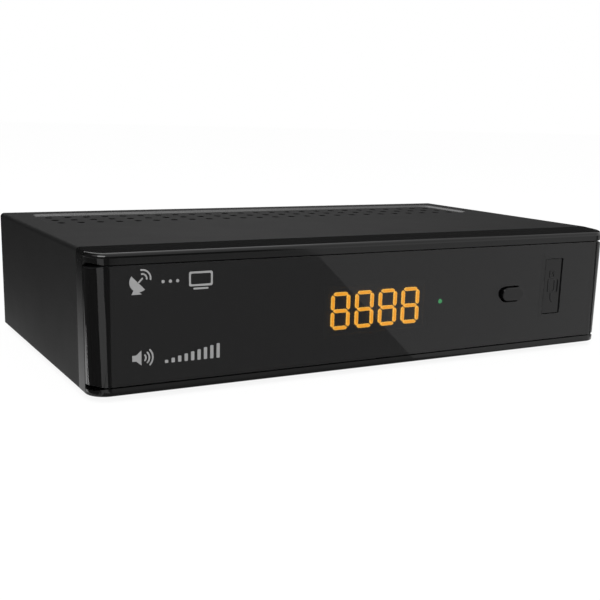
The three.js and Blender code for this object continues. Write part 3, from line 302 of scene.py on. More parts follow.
# %% Matt mouldings
PLASTICS = {
    "matt black ABS": ("#0e0e0f", "#161617", 0.55, 0.15),
    "black PBT": ("#121213", "#1b1b1c", 0.45, 0.12),
    "chip epoxy": ("#1a1a1c", "#242427", 0.6, 0.1),
    "white nylon": ("#c9c8c2", "#dbdad5", 0.55, 0.14),
    "orange PBT": ("#c8641a", "#dd7a28", 0.4, 0.12),
    "EPDM rubber": ("#0d0d0d", "#171717", 0.85, 0.25),
    "clear polycarbonate": ("#aeb7b2", "#c5cdc9", 0.15, 0.3),
    "screen printing ink": ("#9b9b9b", "#a6a6a6", 0.55, 0.12),
}
SPARK_DEPTH, UNEVEN, FLOW = 0.01, 0.06, 30
plastic = {}
for name, (dark, pale, rough, size) in PLASTICS.items():
    plastic[name], tree, shader = finish(name)
    spark = grain(tree, size)
    flow = grain(tree, size * FLOW)
    vary(tree, shader, (flow, dark, pale), (spark, rough - UNEVEN, rough + UNEVEN),
         (spark, SPARK_DEPTH, 0.5))
print("mouldings:", len(plastic))

# %% [markdown]
# ## Metals
#
# A metal's colour is its reflection, so metallic is 1 and the base colour is that of the bare
# metal. What makes each one different is how its surface was made: nickel plating on turned brass
# is bright with fine rings, tinplate is rolled and slightly milky, aluminium is extruded and shows
# its drawing lines, and black oxide is a thin dark skin. The table gives two colours, the least and
# the greatest roughness, the lines' width in millimetres, and how they stretch.

# %% Metals
METALS = {
    "nickel-plated brass": ("#b9b4aa", "#cdc9c0", 0.16, 0.28, 0.12, (1, 12, 1)),
    "rolled tinplate": ("#a9abad", "#bdbfc1", 0.26, 0.4, 0.3, (8, 1, 1)),
    "extruded aluminium": ("#a4a6a8", "#babcbe", 0.34, 0.5, 0.12, (1, 14, 1)),
    "zinc-plated steel": ("#9a9c9f", "#b4b6b8", 0.28, 0.42, 0.2, (1, 1, 1)),
    "black oxide steel": ("#202021", "#2e2e30", 0.35, 0.5, 0.15, (1, 1, 1)),
}
LINE_DEPTH, MILKY = 0.004, 12
metal = {}
for name, (dark, pale, smooth, rough, size, stretch) in METALS.items():
    metal[name], tree, shader = finish(name, Metallic=1.0)
    line = grain(tree, size, detail=3, stretch=stretch)
    cloud = grain(tree, size * MILKY)
    vary(tree, shader, (cloud, dark, pale), (line, smooth, rough), (line, LINE_DEPTH, 0.3))
print("metals:", len(metal))

# %% [markdown]
# ## Circuit board and ribbon
#
# FR4 board is glass cloth in epoxy under a green solder mask. Copper tracks stand 0.03 mm proud
# under the mask and read as slightly lighter lines, so the cell borders of a Voronoi texture draw
# them at track spacing. The ribbon is ten wires side by side in grey PVC, 1.27 mm apart, which is a
# simple wave. The case hides the ribbon, and its ribs are drawn coarser than real: a wave texture
# repeats each 2 pi / 20 of a unit of its scale, so they come out 2 pi times the wires' spacing,
# which is 8 mm.

# %% Circuit board
TRACK_SPACING, TRACK_HEIGHT = 2.5, 0.03
board_mask, tree, shader = finish("green solder mask on FR4", Roughness=0.35)
place = add(tree, "ShaderNodeTexCoord")
cells = add(tree, "ShaderNodeTexVoronoi", {
    "Vector": place.outputs["Object"], "Scale": 1 / (TRACK_SPACING * MM)},
    feature="DISTANCE_TO_EDGE", distance="EUCLIDEAN")
track = add(tree, "ShaderNodeMapRange", {
    "Value": cells.outputs[0], "From Min": 0.05, "From Max": 0.1})
vary(tree, shader, (track.outputs[0], "#2f7a4a", "#1c5632"),
     bump=(track.outputs[0], TRACK_HEIGHT, 0.4))

# %% Ribbon
WIRE_SPACING, WIRE_HEIGHT = 1.27, 0.3
ribbon_pvc, tree, shader = finish("grey PVC ribbon", Roughness=0.5)
place = add(tree, "ShaderNodeTexCoord")
wires = add(tree, "ShaderNodeTexWave", {
    "Vector": place.outputs["Object"], "Scale": 1 / (WIRE_SPACING * MM * 20)},
    wave_type="BANDS", bands_direction="X")
# The wave paints the grooves between the wires darker, as painted shade, and also raises the wires
# in the relief.
vary(tree, shader, (wires.outputs[1], "#8c8a86", "#bab8b2"),
     bump=(wires.outputs[1], WIRE_HEIGHT, 0.6))

# %% [markdown]
# ## Making solids
#
# Moulded and folded parts are mostly one outline carried along a line. So the main tool joins rings
# of points into a closed skin, and a prism or a turned part is only a special case of it. Outlines
# are drawn in the two axes that are left when the third is the one along which they are carried.

# %% Helpers for outlines


def arc(radius, x, y, start, end, steps):
    """Points on an arc, with both ends, in degrees."""
    turns = [math.radians(start + (end - start) * i / steps) for i in range(steps + 1)]
    return [(x + radius * math.cos(t), y + radius * math.sin(t)) for t in turns]


def circle(radius, x, y):
    """A circle of 24 points."""
    return arc(radius, x, y, 0, 345, 23)


def pill(length, height, x, y, steps):
    """A stadium outline, its long axis along whichever side is longer."""
    radius = min(length, height) / 2
    reach_x, reach_y = length / 2 - radius, height / 2 - radius
    if length > height:
        return arc(radius, x + reach_x, y, -90, 90, steps) + arc(
            radius, x - reach_x, y, 90, 270, steps)
    return arc(radius, x, y + reach_y, 0, 180, steps) + arc(radius, x, y - reach_y, 180, 360, steps)


def rounded(width, height, radius, x, y, steps=6):
    """A rectangle with round corners."""
    u, v = width / 2 - radius, height / 2 - radius
    corners = ((u, v, 0), (-u, v, 90), (-u, -v, 180), (u, -v, 270))
    return [p for du, dv, a in corners for p in arc(radius, x + du, y + dv, a, a + 90, steps)]


def oblong(x0, x1, y0, y1):
    """The four corners of a rectangle."""
    return [(x0, y0), (x1, y0), (x1, y1), (x0, y1)]


def around(middle, size):
    """The two ends of a size about its middle."""
    return middle - size / 2, middle + size / 2


def quarter(steps):
    """Angles from 0 to a right angle, for rounding an edge."""
    return [math.pi / 2 * i / steps for i in range(steps + 1)]


# %% Helpers for skins


def reworked(mesh, change):
    """Opens a mesh for editing, changes it and closes it again."""
    body = bmesh.new()
    body.from_mesh(mesh)
    change(body)
    body.to_mesh(mesh)
    body.free()


def loft(name, rings):
    """A closed skin through rings of points. The first and last ring are filled."""
    count = len(rings[0])
    faces = [list(range(count))[::-1], [len(rings) * count - count + i for i in range(count)]]
    for level in range(len(rings) - 1):
        for i in range(count):
            near, step = level * count + i, level * count + (i + 1) % count
            faces.append([near, step, step + count, near + count])
    mesh = bpy.data.meshes.new(name)
    mesh.from_pydata([CASE @ Vector(point) for ring in rings for point in ring], [], faces)
    reworked(mesh, lambda body: bmesh.ops.recalc_face_normals(body, faces=body.faces))
    return placed(name, mesh)


LAID = {
    "x": lambda u, v, w: (w, u, v),
    "y": lambda u, v, w: (u, w, v),
    "z": lambda u, v, w: (u, v, w),
}


def laid(outline, along, w):
    """An outline in space, at one place along the third axis."""
    return [LAID[along](u, v, w) for u, v in outline]


def prism(name, outline, along, low, high):
    """An outline drawn out along one axis."""
    return loft(name, [laid(outline, along, w) for w in (low, high)])


def turned(name, profile, along, u, v, start=0.0, sides=48):
    """A profile of (radius, distance) pairs, turned about a line that runs along one axis."""
    angles = [2 * math.pi * i / sides for i in range(sides)]
    return loft(name, [laid([(u + r * math.cos(a), v + r * math.sin(a)) for a in angles],
                            along, start + w) for r, w in profile])


def block(name, xs, ys, zs):
    """A box between two corners."""
    return prism(name, oblong(*xs, *ys), "z", *zs)


# %% [markdown]
# ## Cutting, joining and breaking edges
#
# Holes are cut with a boolean, as a tool cuts them. Then a narrow bevel breaks every sharp edge,
# because it is the broken edge that catches the light on a real case. The normals are weighted by
# area after that, so the flats stay flat beside the narrow rounds.

# %% Helpers for cutting and edges
WELD = 1e-7
NEARLY_FLAT = math.radians(0.6)
SHARP = math.radians(38)


def merged(pieces):
    """Several objects as one, without joining their skins."""
    keep = pieces[0]
    body = bmesh.new()
    for piece in pieces:
        body.from_mesh(piece.data)
    body.to_mesh(keep.data)
    body.free()
    for piece in pieces[1:]:
        bpy.data.objects.remove(piece)
    return keep


def baked(piece):
    """The piece with its modifiers applied."""
    graph = bpy.context.evaluated_depsgraph_get()
    mesh = bpy.data.meshes.new_from_object(piece.evaluated_get(graph))
    piece.modifiers.clear()
    piece.data = mesh
    return piece


def carved(piece, tools, operation="DIFFERENCE"):
    """Cuts with, or joins, other solids, which are used up."""
    tool = merged(tools)
    change = piece.modifiers.new(operation, "BOOLEAN")
    change.operation, change.solver, change.object = operation, "MANIFOLD", tool
    baked(piece)
    bpy.data.objects.remove(tool)
    return piece


def softened(piece, width_mm, segments=2, join=True):
    """Joins flat faces up, rounds the sharp edges and shades the rest smooth."""

    def clean(body):
        bmesh.ops.remove_doubles(body, verts=body.verts, dist=WELD)
        if join:
            bmesh.ops.dissolve_limit(
                body, angle_limit=NEARLY_FLAT, verts=body.verts, edges=body.edges)

    reworked(piece.data, clean)
    if width_mm:
        bevel = piece.modifiers.new("edges", "BEVEL")
        bevel.width, bevel.segments = width_mm * MM, segments
        bevel.limit_method, bevel.angle_limit = "ANGLE", SHARP
        bevel.miter_outer = "MITER_ARC"
    piece.data.shade_smooth()
    weigh = piece.modifiers.new("normals", "WEIGHTED_NORMAL")
    weigh.keep_sharp, weigh.weight = True, 100
    return baked(piece)


def dressed(piece, material, body, slot, *stands_for):
    """Gives a new piece its finish and its body, and hides the CAD nodes that it stands for."""
    piece.data.materials.clear()
    piece.data.materials.append(material)
    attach(piece, body)
    if stands_for:
        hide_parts(*stands_for)
    print(piece.name, "has", len(piece.data.polygons), "faces")
    return piece


# %% [markdown]
# ## Sizes of the case
#
# These are the same sizes that the CAD source names, because the pieces below replace CAD solids
# with finer ones and have to land in the same place. Only the moulded front is drawn finer still:
# its crest stands 0.18 mm higher and rounder, its grooves run 0.15 mm lower, and its lower edge
# hangs as a 0.4 mm lip in front of the tray.

# %% Sizes
WIDTH, DEPTH, HEIGHT = 168, 94.6, 35.4
HALF = WIDTH / 2
SHEET = 0.8
FIT = 0.3
BEZEL_DEPTH, BEZEL_TOP, BEZEL_WALL = 10, 34.65, 1.8
CORNER = 5.2
FLAT_EDGE = HALF - CORNER
PLATE, PLATE_RETURN = 1.8, 4.3
CREST, LIP = 34.83, 0.4
STRIP_LOW, STRIP_HIGH = 1.6, 32.04
PLATE_LOW, PLATE_HIGH = STRIP_LOW + 0.4, STRIP_HIGH - 0.4
DISPLAY = (-1.596, 15.893)
LAMP = (20.471, 16.4)
BUTTON = (45.604, 17.35)
BUTTON_LENGTH, BUTTON_HEIGHT, BUTTON_PROUD = 8, 4, 1.2
FLAP = (62, 18.55)
print("case", WIDTH, "x", DEPTH, "x", HEIGHT, "mm")

# %% [markdown]
# ## The lid
#
# The cover is one sheet folded into a U. Its vent field is pressed down by 0.6 mm in the same
# stroke that punches 75 small slots, and a press can't make a sharp wall, so the field's edge is a
# soft S, 1.6 mm wide. That slope is what shines at the back of the lid. The field is a stack of
# rounded rectangles, shrinking as they go down.

# %% Vent field
VENT_COLUMNS, VENT_ROWS = 25, 3
VENT_PITCH, VENT_ROW_PITCH = 6, 7.3
VENT_WIDTH, VENT_LENGTH = 2.2, 2.8
REAR_RIM = 6.4
FIELD_REAR = DEPTH - REAR_RIM
FIELD_DROP, FIELD_SLOPE, FIELD_CORNER = 0.6, 1.6, 4.4
SIDE_MARGIN, REAR_MARGIN, FRONT_MARGIN = 3.7, 5.2, 6
SLOPE_STEPS = 8
field_half = (VENT_COLUMNS - 1) / 2 * VENT_PITCH + VENT_WIDTH / 2 + SIDE_MARGIN
last_row = FIELD_REAR - REAR_MARGIN - VENT_LENGTH / 2
first_row = last_row - (VENT_ROWS - 1) * VENT_ROW_PITCH
field_front = first_row - VENT_LENGTH / 2 - FRONT_MARGIN
field_middle = (FIELD_REAR + field_front) / 2
field_depth = FIELD_REAR - field_front
print("vent field", round(2 * field_half, 1), "x", round(field_depth, 1), "mm")


def field_rings(grow):
    """The pressed hollow as rings, from the lid down to its floor, grown sideways."""
    rings = []
    for i in range(SLOPE_STEPS + 1):
        share = i / SLOPE_STEPS
        fall = FIELD_DROP * (1 - math.cos(math.pi * share)) / 2
        inset = FIELD_SLOPE * share - grow
        outline = rounded(2 * (field_half - inset), field_depth - 2 * inset,
                          FIELD_CORNER - FIELD_SLOPE * share, 0, field_middle, 8)
        rings.append(laid(outline, "z", HEIGHT - fall))
    return rings


# %% Folded sheet
BEND = 1.2


def fold(radius, half, top):
    """The U of the cover seen from the front: right foot, over the top, left foot."""
    points = [(half, 0)] + arc(radius, half - radius, top - radius, 0, 90, 8)
    return points + [(-x, z) for x, z in reversed(points)]


outer = fold(BEND, HALF, HEIGHT)
inner = fold(BEND - SHEET, HALF - SHEET, HEIGHT - SHEET)
cover = prism("cover_sheet", outer + inner[::-1], "y", BEZEL_DEPTH, DEPTH)
dish = [[(x, y, z - SHEET) for x, y, z in ring] for ring in field_rings(SHEET)]
lid_under = [(x, y, HEIGHT - SHEET / 2) for x, y, _ in dish[0]]
cover = carved(cover, [loft("dish", [lid_under] + dish)], "UNION")
hollow = field_rings(0)
above = [(x, y, HEIGHT + 1) for x, y, _ in hollow[0]]
cover = carved(cover, [loft("hollow", [above] + hollow)])
print("sheet", SHEET, "mm, pressed down by", FIELD_DROP, "mm")

# %% Slots
UNDER_FIELD, OVER_LID = HEIGHT - 3, HEIGHT + 1
vents = []
for row in range(VENT_ROWS):
    for column in range(VENT_COLUMNS):
        place = ((column - (VENT_COLUMNS - 1) / 2) * VENT_PITCH, first_row + row * VENT_ROW_PITCH)
        vents.append(prism("vent", pill(VENT_WIDTH, VENT_LENGTH, *place, 8), "z",
                           UNDER_FIELD, OVER_LID))
print("slots:", len(vents))
cover = carved(cover, vents)

# %% [markdown]
# ## Tabs and coats of the lid
#
# At the back the lid has two tabs, turned down inside the rear panel, that take its screws. Then
# the coats are told apart: the walls of the slots get the dark coat of painted shade, and the slope
# round the field gets the paler coat of painted highlight. A face belongs to one or the other by
# how it leans and how high it lies.

# %% Screw tabs
TAB_WIDTH, TAB_HEIGHT, SCREW_DROP, SCREW_SHARE = 10, 7, 3.5, 0.643
SCREW_HOLE, DRILL_START, DRILL_LENGTH = 1.5, 4, 6
SCREW_X = HALF * SCREW_SHARE
SCREW_Z = HEIGHT - SHEET - SCREW_DROP
TAB_REAR = DEPTH - SHEET - FIT
tabs = [block("tab", around(x, TAB_WIDTH), (TAB_REAR - SHEET, TAB_REAR),
              (HEIGHT - SHEET - TAB_HEIGHT, HEIGHT - SHEET / 2)) for x in (-SCREW_X, SCREW_X)]
cover = carved(cover, tabs, "UNION")
drill = [(SCREW_HOLE, 0), (SCREW_HOLE, DRILL_LENGTH)]
cover = carved(cover, [turned("hole", drill, "y", x, SCREW_Z, TAB_REAR - DRILL_START)
                       for x in (-SCREW_X, SCREW_X)])
dressed(softened(cover, 0.14), powder_coat, "case", "black_steel", "top_cover")

# %% Coats in the vent field
STEEP, LEVEL, CLEAR = 0.5, 0.9995, 0.03
# Index 1 paints shade on the slot walls, index 2 paints a highlight on the slope.
for coat in (slot_shade_coat, slope_highlight_coat):
    cover.data.materials.append(coat)
for face in cover.data.polygons:
    middle = in_case(face.center)
    over_field = abs(middle.x) < field_half and field_front < middle.y < FIELD_REAR
    on_slope = HEIGHT - FIELD_DROP + CLEAR < middle.z < HEIGHT - CLEAR
    if over_field and abs(face.normal.z) < STEEP and middle.z > UNDER_FIELD:
        face.material_index = 1
    elif over_field and STEEP < face.normal.z < LEVEL and on_slope:
        face.material_index = 2
print("slot walls:", sum(1 for face in cover.data.polygons if face.material_index == 1))

# %% [markdown]
# ## The bezel
#
# The bezel is a moulded cap, 10 mm deep. Its top slopes up to the lid, its top front edge is
# rounded by 1.2 mm and draws one long highlight across the receiver, and its corners turn on a
# 5.2 mm radius. Rings that follow the outline and move in as they near the top and the bottom give
# both roundings at once. A recess for the plate is cut round the front after that, with a narrow
# groove above and below the plate that opens into a V round the corners.

# %% Cap outline
END_CLEAR, END_LEAN = 0.02, 0.93


def cap(inset, rear):
    """Plan of the cap, moved inwards by the inset: right side, both corners, left side."""
    right_corner = arc(CORNER - inset, HALF - CORNER, CORNER, 0, -90, 20)
    left_corner = [(-x, y) for x, y in reversed(right_corner)]
    return [(HALF - inset, rear)] + right_corner + left_corner + [(inset - HALF, rear)]


def plate_end(z):
    """How far back the plate reaches at a level. Its cut end leans forward to the bottom."""
    below = PLATE_HIGH - z
    return PLATE_RETURN - END_CLEAR - END_LEAN * below / (PLATE_HIGH - PLATE_LOW)


# %% Groove flares
FLARE_DEPTH, FLARE_RISE, BEYOND = 1.6, 0.65, 1.5
FLARE_START, FLARE_SPAN, FLARE_STEPS, FULL_STEP = 8, 77, 14, 8
GROOVES = ((STRIP_LOW + PLATE_LOW) / 2, (STRIP_HIGH + PLATE_HIGH) / 2)


def flare(side, z):
    """The groove opens into a V round the corner, from nothing to full depth at the flank."""
    rings = []
    for i in range(FLARE_STEPS + 1):
        turn = math.radians(FLARE_START + FLARE_SPAN * i / FLARE_STEPS)
        share = min(1, (i + 1) / FULL_STEP)
        depth, rise = FLARE_DEPTH * share, FLARE_RISE * share
        mouth = rise * (1 + BEYOND / depth)
        section = ((CORNER - depth, 0), (CORNER + BEYOND, -mouth), (CORNER + BEYOND, mouth))
        rings.append([(side * (FLAT_EDGE + r * math.sin(turn)), CORNER - r * math.cos(turn), z + dz)
                      for r, dz in section])
    return loft("flare", rings)


def flares():
    """The four flares, two at each groove."""
    return [flare(side, z) for side in (-1, 1) for z in GROOVES]


# %% Moulded cap
EDGE_TOP, EDGE_LOW = 1.2, 0.5
RISE = (HEIGHT - CREST) / (BEZEL_DEPTH - EDGE_TOP)
rings = []
for turn in quarter(6):
    outline = cap(EDGE_LOW * (1 - math.sin(turn)), BEZEL_DEPTH)
    rings.append(laid(outline, "z", EDGE_LOW * (1 - math.cos(turn)) - LIP))
for turn in quarter(10):
    outline = cap(EDGE_TOP * (1 - math.cos(turn)), BEZEL_DEPTH)
    level = CREST - EDGE_TOP * (1 - math.sin(turn))
    rings.append([(x, y, level + RISE * (y - EDGE_TOP)) for x, y in outline])
bezel = loft("bezel_moulding", rings)
print("cap of", len(rings), "rings, from", -LIP, "to", HEIGHT, "mm")

# %% Recess and cavity
END_GAP, OUTSIDE = 0.12, 4
bezel_face = PLATE + FIT
bezel_inner = bezel_face + BEZEL_WALL
slant = [(-OUTSIDE, STRIP_LOW), (plate_end(STRIP_LOW) + END_GAP, STRIP_LOW),
         (plate_end(STRIP_HIGH) + END_GAP, STRIP_HIGH), (-OUTSIDE, STRIP_HIGH)]
slab = prism("recess", slant, "x", -HALF - OUTSIDE, HALF + OUTSIDE)
slab = carved(slab, [prism("core", cap(bezel_face, 20), "z", -1, 40)])
bezel = carved(bezel, [slab])
inside = (BEZEL_WALL, BEZEL_TOP - BEZEL_WALL)
bezel = carved(bezel, [prism("cavity", cap(bezel_inner, BEZEL_DEPTH + 2), "z", *inside)])
bezel = carved(bezel, [block("side room", (BEZEL_WALL - HALF, HALF - BEZEL_WALL),
                             (PLATE_RETURN + FIT + BEZEL_WALL, BEZEL_DEPTH + 2), inside)])
print("recess", round(STRIP_HIGH - STRIP_LOW, 2), "mm high, walls", BEZEL_WALL, "mm")

# %% Windows in the bezel
DISPLAY_WINDOW = (34.6, 15.6, 0.5)
PORT_WINDOW = (6.5, 13.8, 0.4)
EYE_X, EYE_HOLE, PIPE_HOLE = 29, 2.3, 0.9
through = (bezel_face - 1, bezel_inner + 1)
button_hole = pill(BUTTON_LENGTH + 2 * FIT, BUTTON_HEIGHT + 3 * FIT,
                   BUTTON[0], BUTTON[1] - FIT / 2, 16)
windows = {
    "display window": rounded(*DISPLAY_WINDOW, *DISPLAY),
    "port window": rounded(*PORT_WINDOW, *FLAP),
    "pipe hole": circle(PIPE_HOLE, *LAMP),
    "eye hole": circle(EYE_HOLE, EYE_X, LAMP[1]),
    "button hole": button_hole,
}
bezel = carved(bezel, [prism(name, outline, "y", *through) for name, outline in windows.items()])
bezel = carved(bezel, flares())
dressed(softened(bezel, 0.12), gloss_abs, "case", "gloss_black", "front_bezel")

# %% [markdown]
# ## The front plate
#
# Acrylic this thin is bent over a hot former, and its cut edge is flame-polished to a soft 0.12 mm
# round. So the plate is one small section carried along the case's outline: round the left corner,
# across the front, round the right. Its edges run 0.14 mm closer to the strips than in the CAD,
# which leaves the hair-thin grooves that the photograph shows. The cut edges and the backs of the
# bends are painted black, as makers do, so that nothing behind them shines through.

# %% Plate section
EDGE_PLATE, SNUG = 0.12, 0.14
edge_low, edge_high = PLATE_LOW - SNUG, PLATE_HIGH + SNUG
section = [(PLATE, edge_low), (PLATE, edge_high)]
section += [(EDGE_PLATE * (1 - math.sin(t)), edge_high - EDGE_PLATE * (1 - math.cos(t)))
            for t in quarter(4)]
section += [(EDGE_PLATE * (1 - math.cos(t)), edge_low + EDGE_PLATE * (1 - math.sin(t)))
            for t in quarter(4)]
print("plate", PLATE, "mm thick,", round(edge_high - edge_low, 2), "mm high")

# %% Bent plate
BEND_STEPS = 24


def bent(share, depth, z):
    """A point of the left bend: share 1 is its cut end, share 0 the start of the flat."""
    turn = math.acos(1 - plate_end(z) / CORNER) * share
    radius = CORNER - depth
    return CORNER - HALF - radius * math.sin(turn), CORNER - radius * math.cos(turn), z


rings = [[bent(1 - i / BEND_STEPS, depth, z) for depth, z in section]
         for i in range(BEND_STEPS + 1)]
rings += [[(-x, y, z) for x, y, z in ring] for ring in reversed(rings)]
plate = loft("plate_acrylic", rings)
print("plate rings:", len(rings))

# %% Openings in the plate
PIN_X, PIN_Y = FLAP[0] - 2.8, 0.95
PIN_SLOT_WIDTH, PIN_SLOT_REACH, PIN_SLOT_HEIGHT = 1.4, 0.7, 19.5
FLAP_WINDOW, WINDOW_SHIFT = (7.2, 17.2, 0.35), 0.1
through = (-1, PLATE + 1)
flap_window = rounded(*FLAP_WINDOW, FLAP[0] + WINDOW_SHIFT, FLAP[1])
plate = carved(plate, [prism("button hole", button_hole, "y", *through),
                       prism("flap window", flap_window, "y", *through)])
plate = carved(plate, [block("pin slot", around(PIN_X, PIN_SLOT_WIDTH),
                             (PIN_Y - PIN_SLOT_REACH, PLATE + 1),
                             around(FLAP[1], PIN_SLOT_HEIGHT))])
plate = carved(plate, flares())
dressed(softened(plate, 0.1), smoked_acrylic, "case", "smoked_plate", "front_plate")

# %% Black paint on the plate's edges
FACING = 0.6
plate.data.materials.append(plastic["matt black ABS"])
for face in plate.data.polygons:
    middle = in_case(face.center)
    hub = max(-FLAT_EDGE, min(FLAT_EDGE, middle.x))
    outward = Vector((middle.x - hub, middle.y - CORNER, 0)).normalized()
    lean = face.normal.dot(outward)
    behind_bend = abs(middle.x) > FLAT_EDGE and lean < -FACING
    if abs(lean) < FACING or behind_bend:
        face.material_index = 1
print("painted faces:", sum(1 for face in plate.data.polygons if face.material_index))

# %% [markdown]
# ## The lit figures
#
# Each figure is seven hexagonal bars with hair-thin dark gaps. The bars are the tops of cavities
# filled with epoxy, so they are flush and square-sided, with only their corners rounded. A second,
# smaller hexagon in each top marks the place over the chip. They stand on a black face.

# %% Outline of a bar
FIGURES = 4
FIGURE_PITCH, FIGURE_WIDTH, FIGURE_HEIGHT = 7.73, 5.9, 10.4
BAR, BAR_GAP = 0.94, 0.26
POINT_CUT, POINT_BULGE = 0.12, 0.04


def bar_outline(x, z, length, upright):
    """A hexagon with rounded points, lying along X or standing along Z."""
    half, tip = BAR / 2, length / 2
    corners = [(-tip, 0), (half - tip, -half), (tip - half, -half), (tip, 0), (tip - half, half),
               (half - tip, half)]
    points = []
    for i, corner in enumerate(corners):
        here = Vector(corner)
        before = (Vector(corners[i - 1]) - here).normalized()
        after = (Vector(corners[(i + 1) % 6]) - here).normalized()
        points += [here + before * POINT_CUT, here + (before + after) * POINT_BULGE,
                   here + after * POINT_CUT]
    return [(x + v, z + u) if upright else (x + u, z + v) for u, v in points]


# %% Places of the bars
reach_x, reach_z = (FIGURE_WIDTH - BAR) / 2, (FIGURE_HEIGHT - BAR) / 2
places = []
for i in range(FIGURES):
    x, z = DISPLAY[0] + (i - (FIGURES - 1) / 2) * FIGURE_PITCH, DISPLAY[1]
    places += [(x, z + dz, 2 * reach_x - 2 * BAR_GAP, False) for dz in (-reach_z, 0, reach_z)]
    places += [(x + dx, z + dz, reach_z - 2 * BAR_GAP, True)
               for dx in (-reach_x, reach_x) for dz in (-reach_z / 2, reach_z / 2)]
print("bars:", len(places))

# %% Bars
GUIDE_DEPTH, BAR_BACK, BAR_SIDE, BAR_FRONT = 1.5, 0.2, 1.17, 1.2
LONG_SHARE, SHORT_SHARE = 0.75, 0.2
guide_back = bezel_face + GUIDE_DEPTH
bars = []
for x, z, length, upright in places:
    outline = bar_outline(x, z, length, upright)
    along_x, along_z = (SHORT_SHARE, LONG_SHARE) if upright else (LONG_SHARE, SHORT_SHARE)
    core = [(x + (u - x) * along_x, z + (v - z) * along_z) for u, v in outline]
    levels = ((outline, BAR_BACK), (outline, BAR_SIDE), (outline, BAR_FRONT), (core, BAR_FRONT))
    bars.append(loft("bar", [laid(ring, "y", guide_back - depth) for ring, depth in levels]))
figures = merged(bars)
figures.name = "figure_bars"
chip = figures.data.attributes.new("chip", "FLOAT", "POINT")
ring_size = len(bar_outline(0, 0, 3, False))
for i in range(len(figures.data.vertices)):
    chip.data[i].value = 1.0 if (i // ring_size) % 4 == 3 else 0.0
figures.data.shade_flat()
dressed(figures, amber_glow, "case", "amber_light", "display_light_guide")

# %% Black face behind the bars
FACE, FACE_DEPTH = (31.4, 12.4, 0.3), 0.7
display_face = prism("display_face", rounded(*FACE, *DISPLAY), "y",
                     guide_back - FACE_DEPTH, guide_back)
dressed(softened(display_face, 0.08), plastic["matt black ABS"], "case", "matt_black")

# %% [markdown]
# ## The status light
#
# A clear polycarbonate pipe carries the light of a small lamp on the board to the back of the
# plate. Its far end is the green dot: a domed disc, a millimetre across. Its profile gives the
# radius and the distance behind the bezel's face, from the dome to the flange and the stub.

# %% Light pipe
PIPE, PIPE_FLANGE = 0.6, 1.3
reach = bezel_inner + FIT - bezel_face
profile = [(0.25, 0.02), (0.45, 0.06), (0.56, 0.16), (PIPE, 0.3), (PIPE, reach),
           (PIPE_FLANGE, reach), (PIPE_FLANGE, reach + 0.8), (PIPE, reach + 0.8), (PIPE, reach + 2)]
pipe = turned("status_light", profile, "y", *LAMP, bezel_face, 32)
dressed(softened(pipe, 0), green_glow, "case", "green_light", "status_light_pipe")

# %% [markdown]
# ## The standby button
#
# The button is a pill of the same ABS as the bezel, polished, that stands 1.2 mm proud of the
# plate. Its front edge is rounded by 0.3 mm, and the narrow dark gap round it is what draws its
# shape in the photograph. A flange behind the bezel keeps it in, and a stub reaches for the switch.

# %% Button
BUTTON_EDGE, FLANGE_THICK, FLANGE_MARGIN, STUB = 0.3, 0.8, 2.8, 1.5
flange_low = bezel_inner + FIT


def button_outline(grow):
    """The button's pill, made larger or smaller."""
    return pill(BUTTON_LENGTH + grow, BUTTON_HEIGHT + grow, *BUTTON, 20)


rings = [laid(button_outline(-2 * BUTTON_EDGE * (1 - math.sin(turn))), "y",
              BUTTON_EDGE * (1 - math.cos(turn)) - BUTTON_PROUD) for turn in quarter(6)]
rings.append(laid(button_outline(0), "y", flange_low))
button = loft("button_cap", rings)
button = carved(button, [prism("flange", button_outline(FLANGE_MARGIN), "y",
                               flange_low - 0.01, flange_low + FLANGE_THICK)], "UNION")
button = carved(button, [turned("stub", [(STUB, -0.1), (STUB, 0.5)], "y", *BUTTON,
                                flange_low + FLANGE_THICK)], "UNION")
dressed(softened(button, 0.08), gloss_abs, "button", "gloss_black", "standby_button")

# %% [markdown]
# ## The socket cover
#
# The cover of the front socket is a thin leaf that lies a third of a millimetre below the plate. It
# turns on two pins at its left edge, and a shallow notch at the right gives a fingernail a hold.

# %% Socket cover
LEAF_WIDTH, LEAF_HEIGHT = 6.8, 16.9
LEAF_FRONT, LEAF_REAR = 0.35, 1.55
KNUCKLE, PIN, PIN_REACH, KNUCKLE_ROOM = 0.6, 0.4, 1, 18
leaf = prism("socket_leaf", rounded(LEAF_WIDTH, LEAF_HEIGHT, 0.3, *FLAP), "y",
             LEAF_FRONT, LEAF_REAR)
leaf = carved(leaf, [block("knuckle room", (FLAP[0] - 4, PIN_X), (LEAF_FRONT - 1, LEAF_REAR + 1),
                           around(FLAP[1], KNUCKLE_ROOM))])
for name, radius, over in (("knuckle", KNUCKLE, 0), ("pins", PIN, PIN_REACH)):
    rod = [(radius, -over), (radius, LEAF_HEIGHT + over)]
    leaf = carved(leaf, [turned(name, rod, "z", PIN_X, PIN_Y, FLAP[1] - LEAF_HEIGHT / 2, 24)],
                  "UNION")
notch = rounded(1, 4, 0.4, FLAP[0] + 2.1, FLAP[1])
leaf = carved(leaf, [prism("nail notch", notch, "y", LEAF_FRONT - 1, LEAF_FRONT + 0.25)])
dressed(softened(leaf, 0.1), gloss_abs, "flap", "gloss_black", "socket_flap")

# %% [markdown]
# ## Strokes
#
# Raised and printed signs are drawn with a pen of even width. A stroke is the line moved to both
# sides, with a round end at each tip, and a band is a closed outline less a smaller copy of it.

# %% Strokes for raised and printed signs


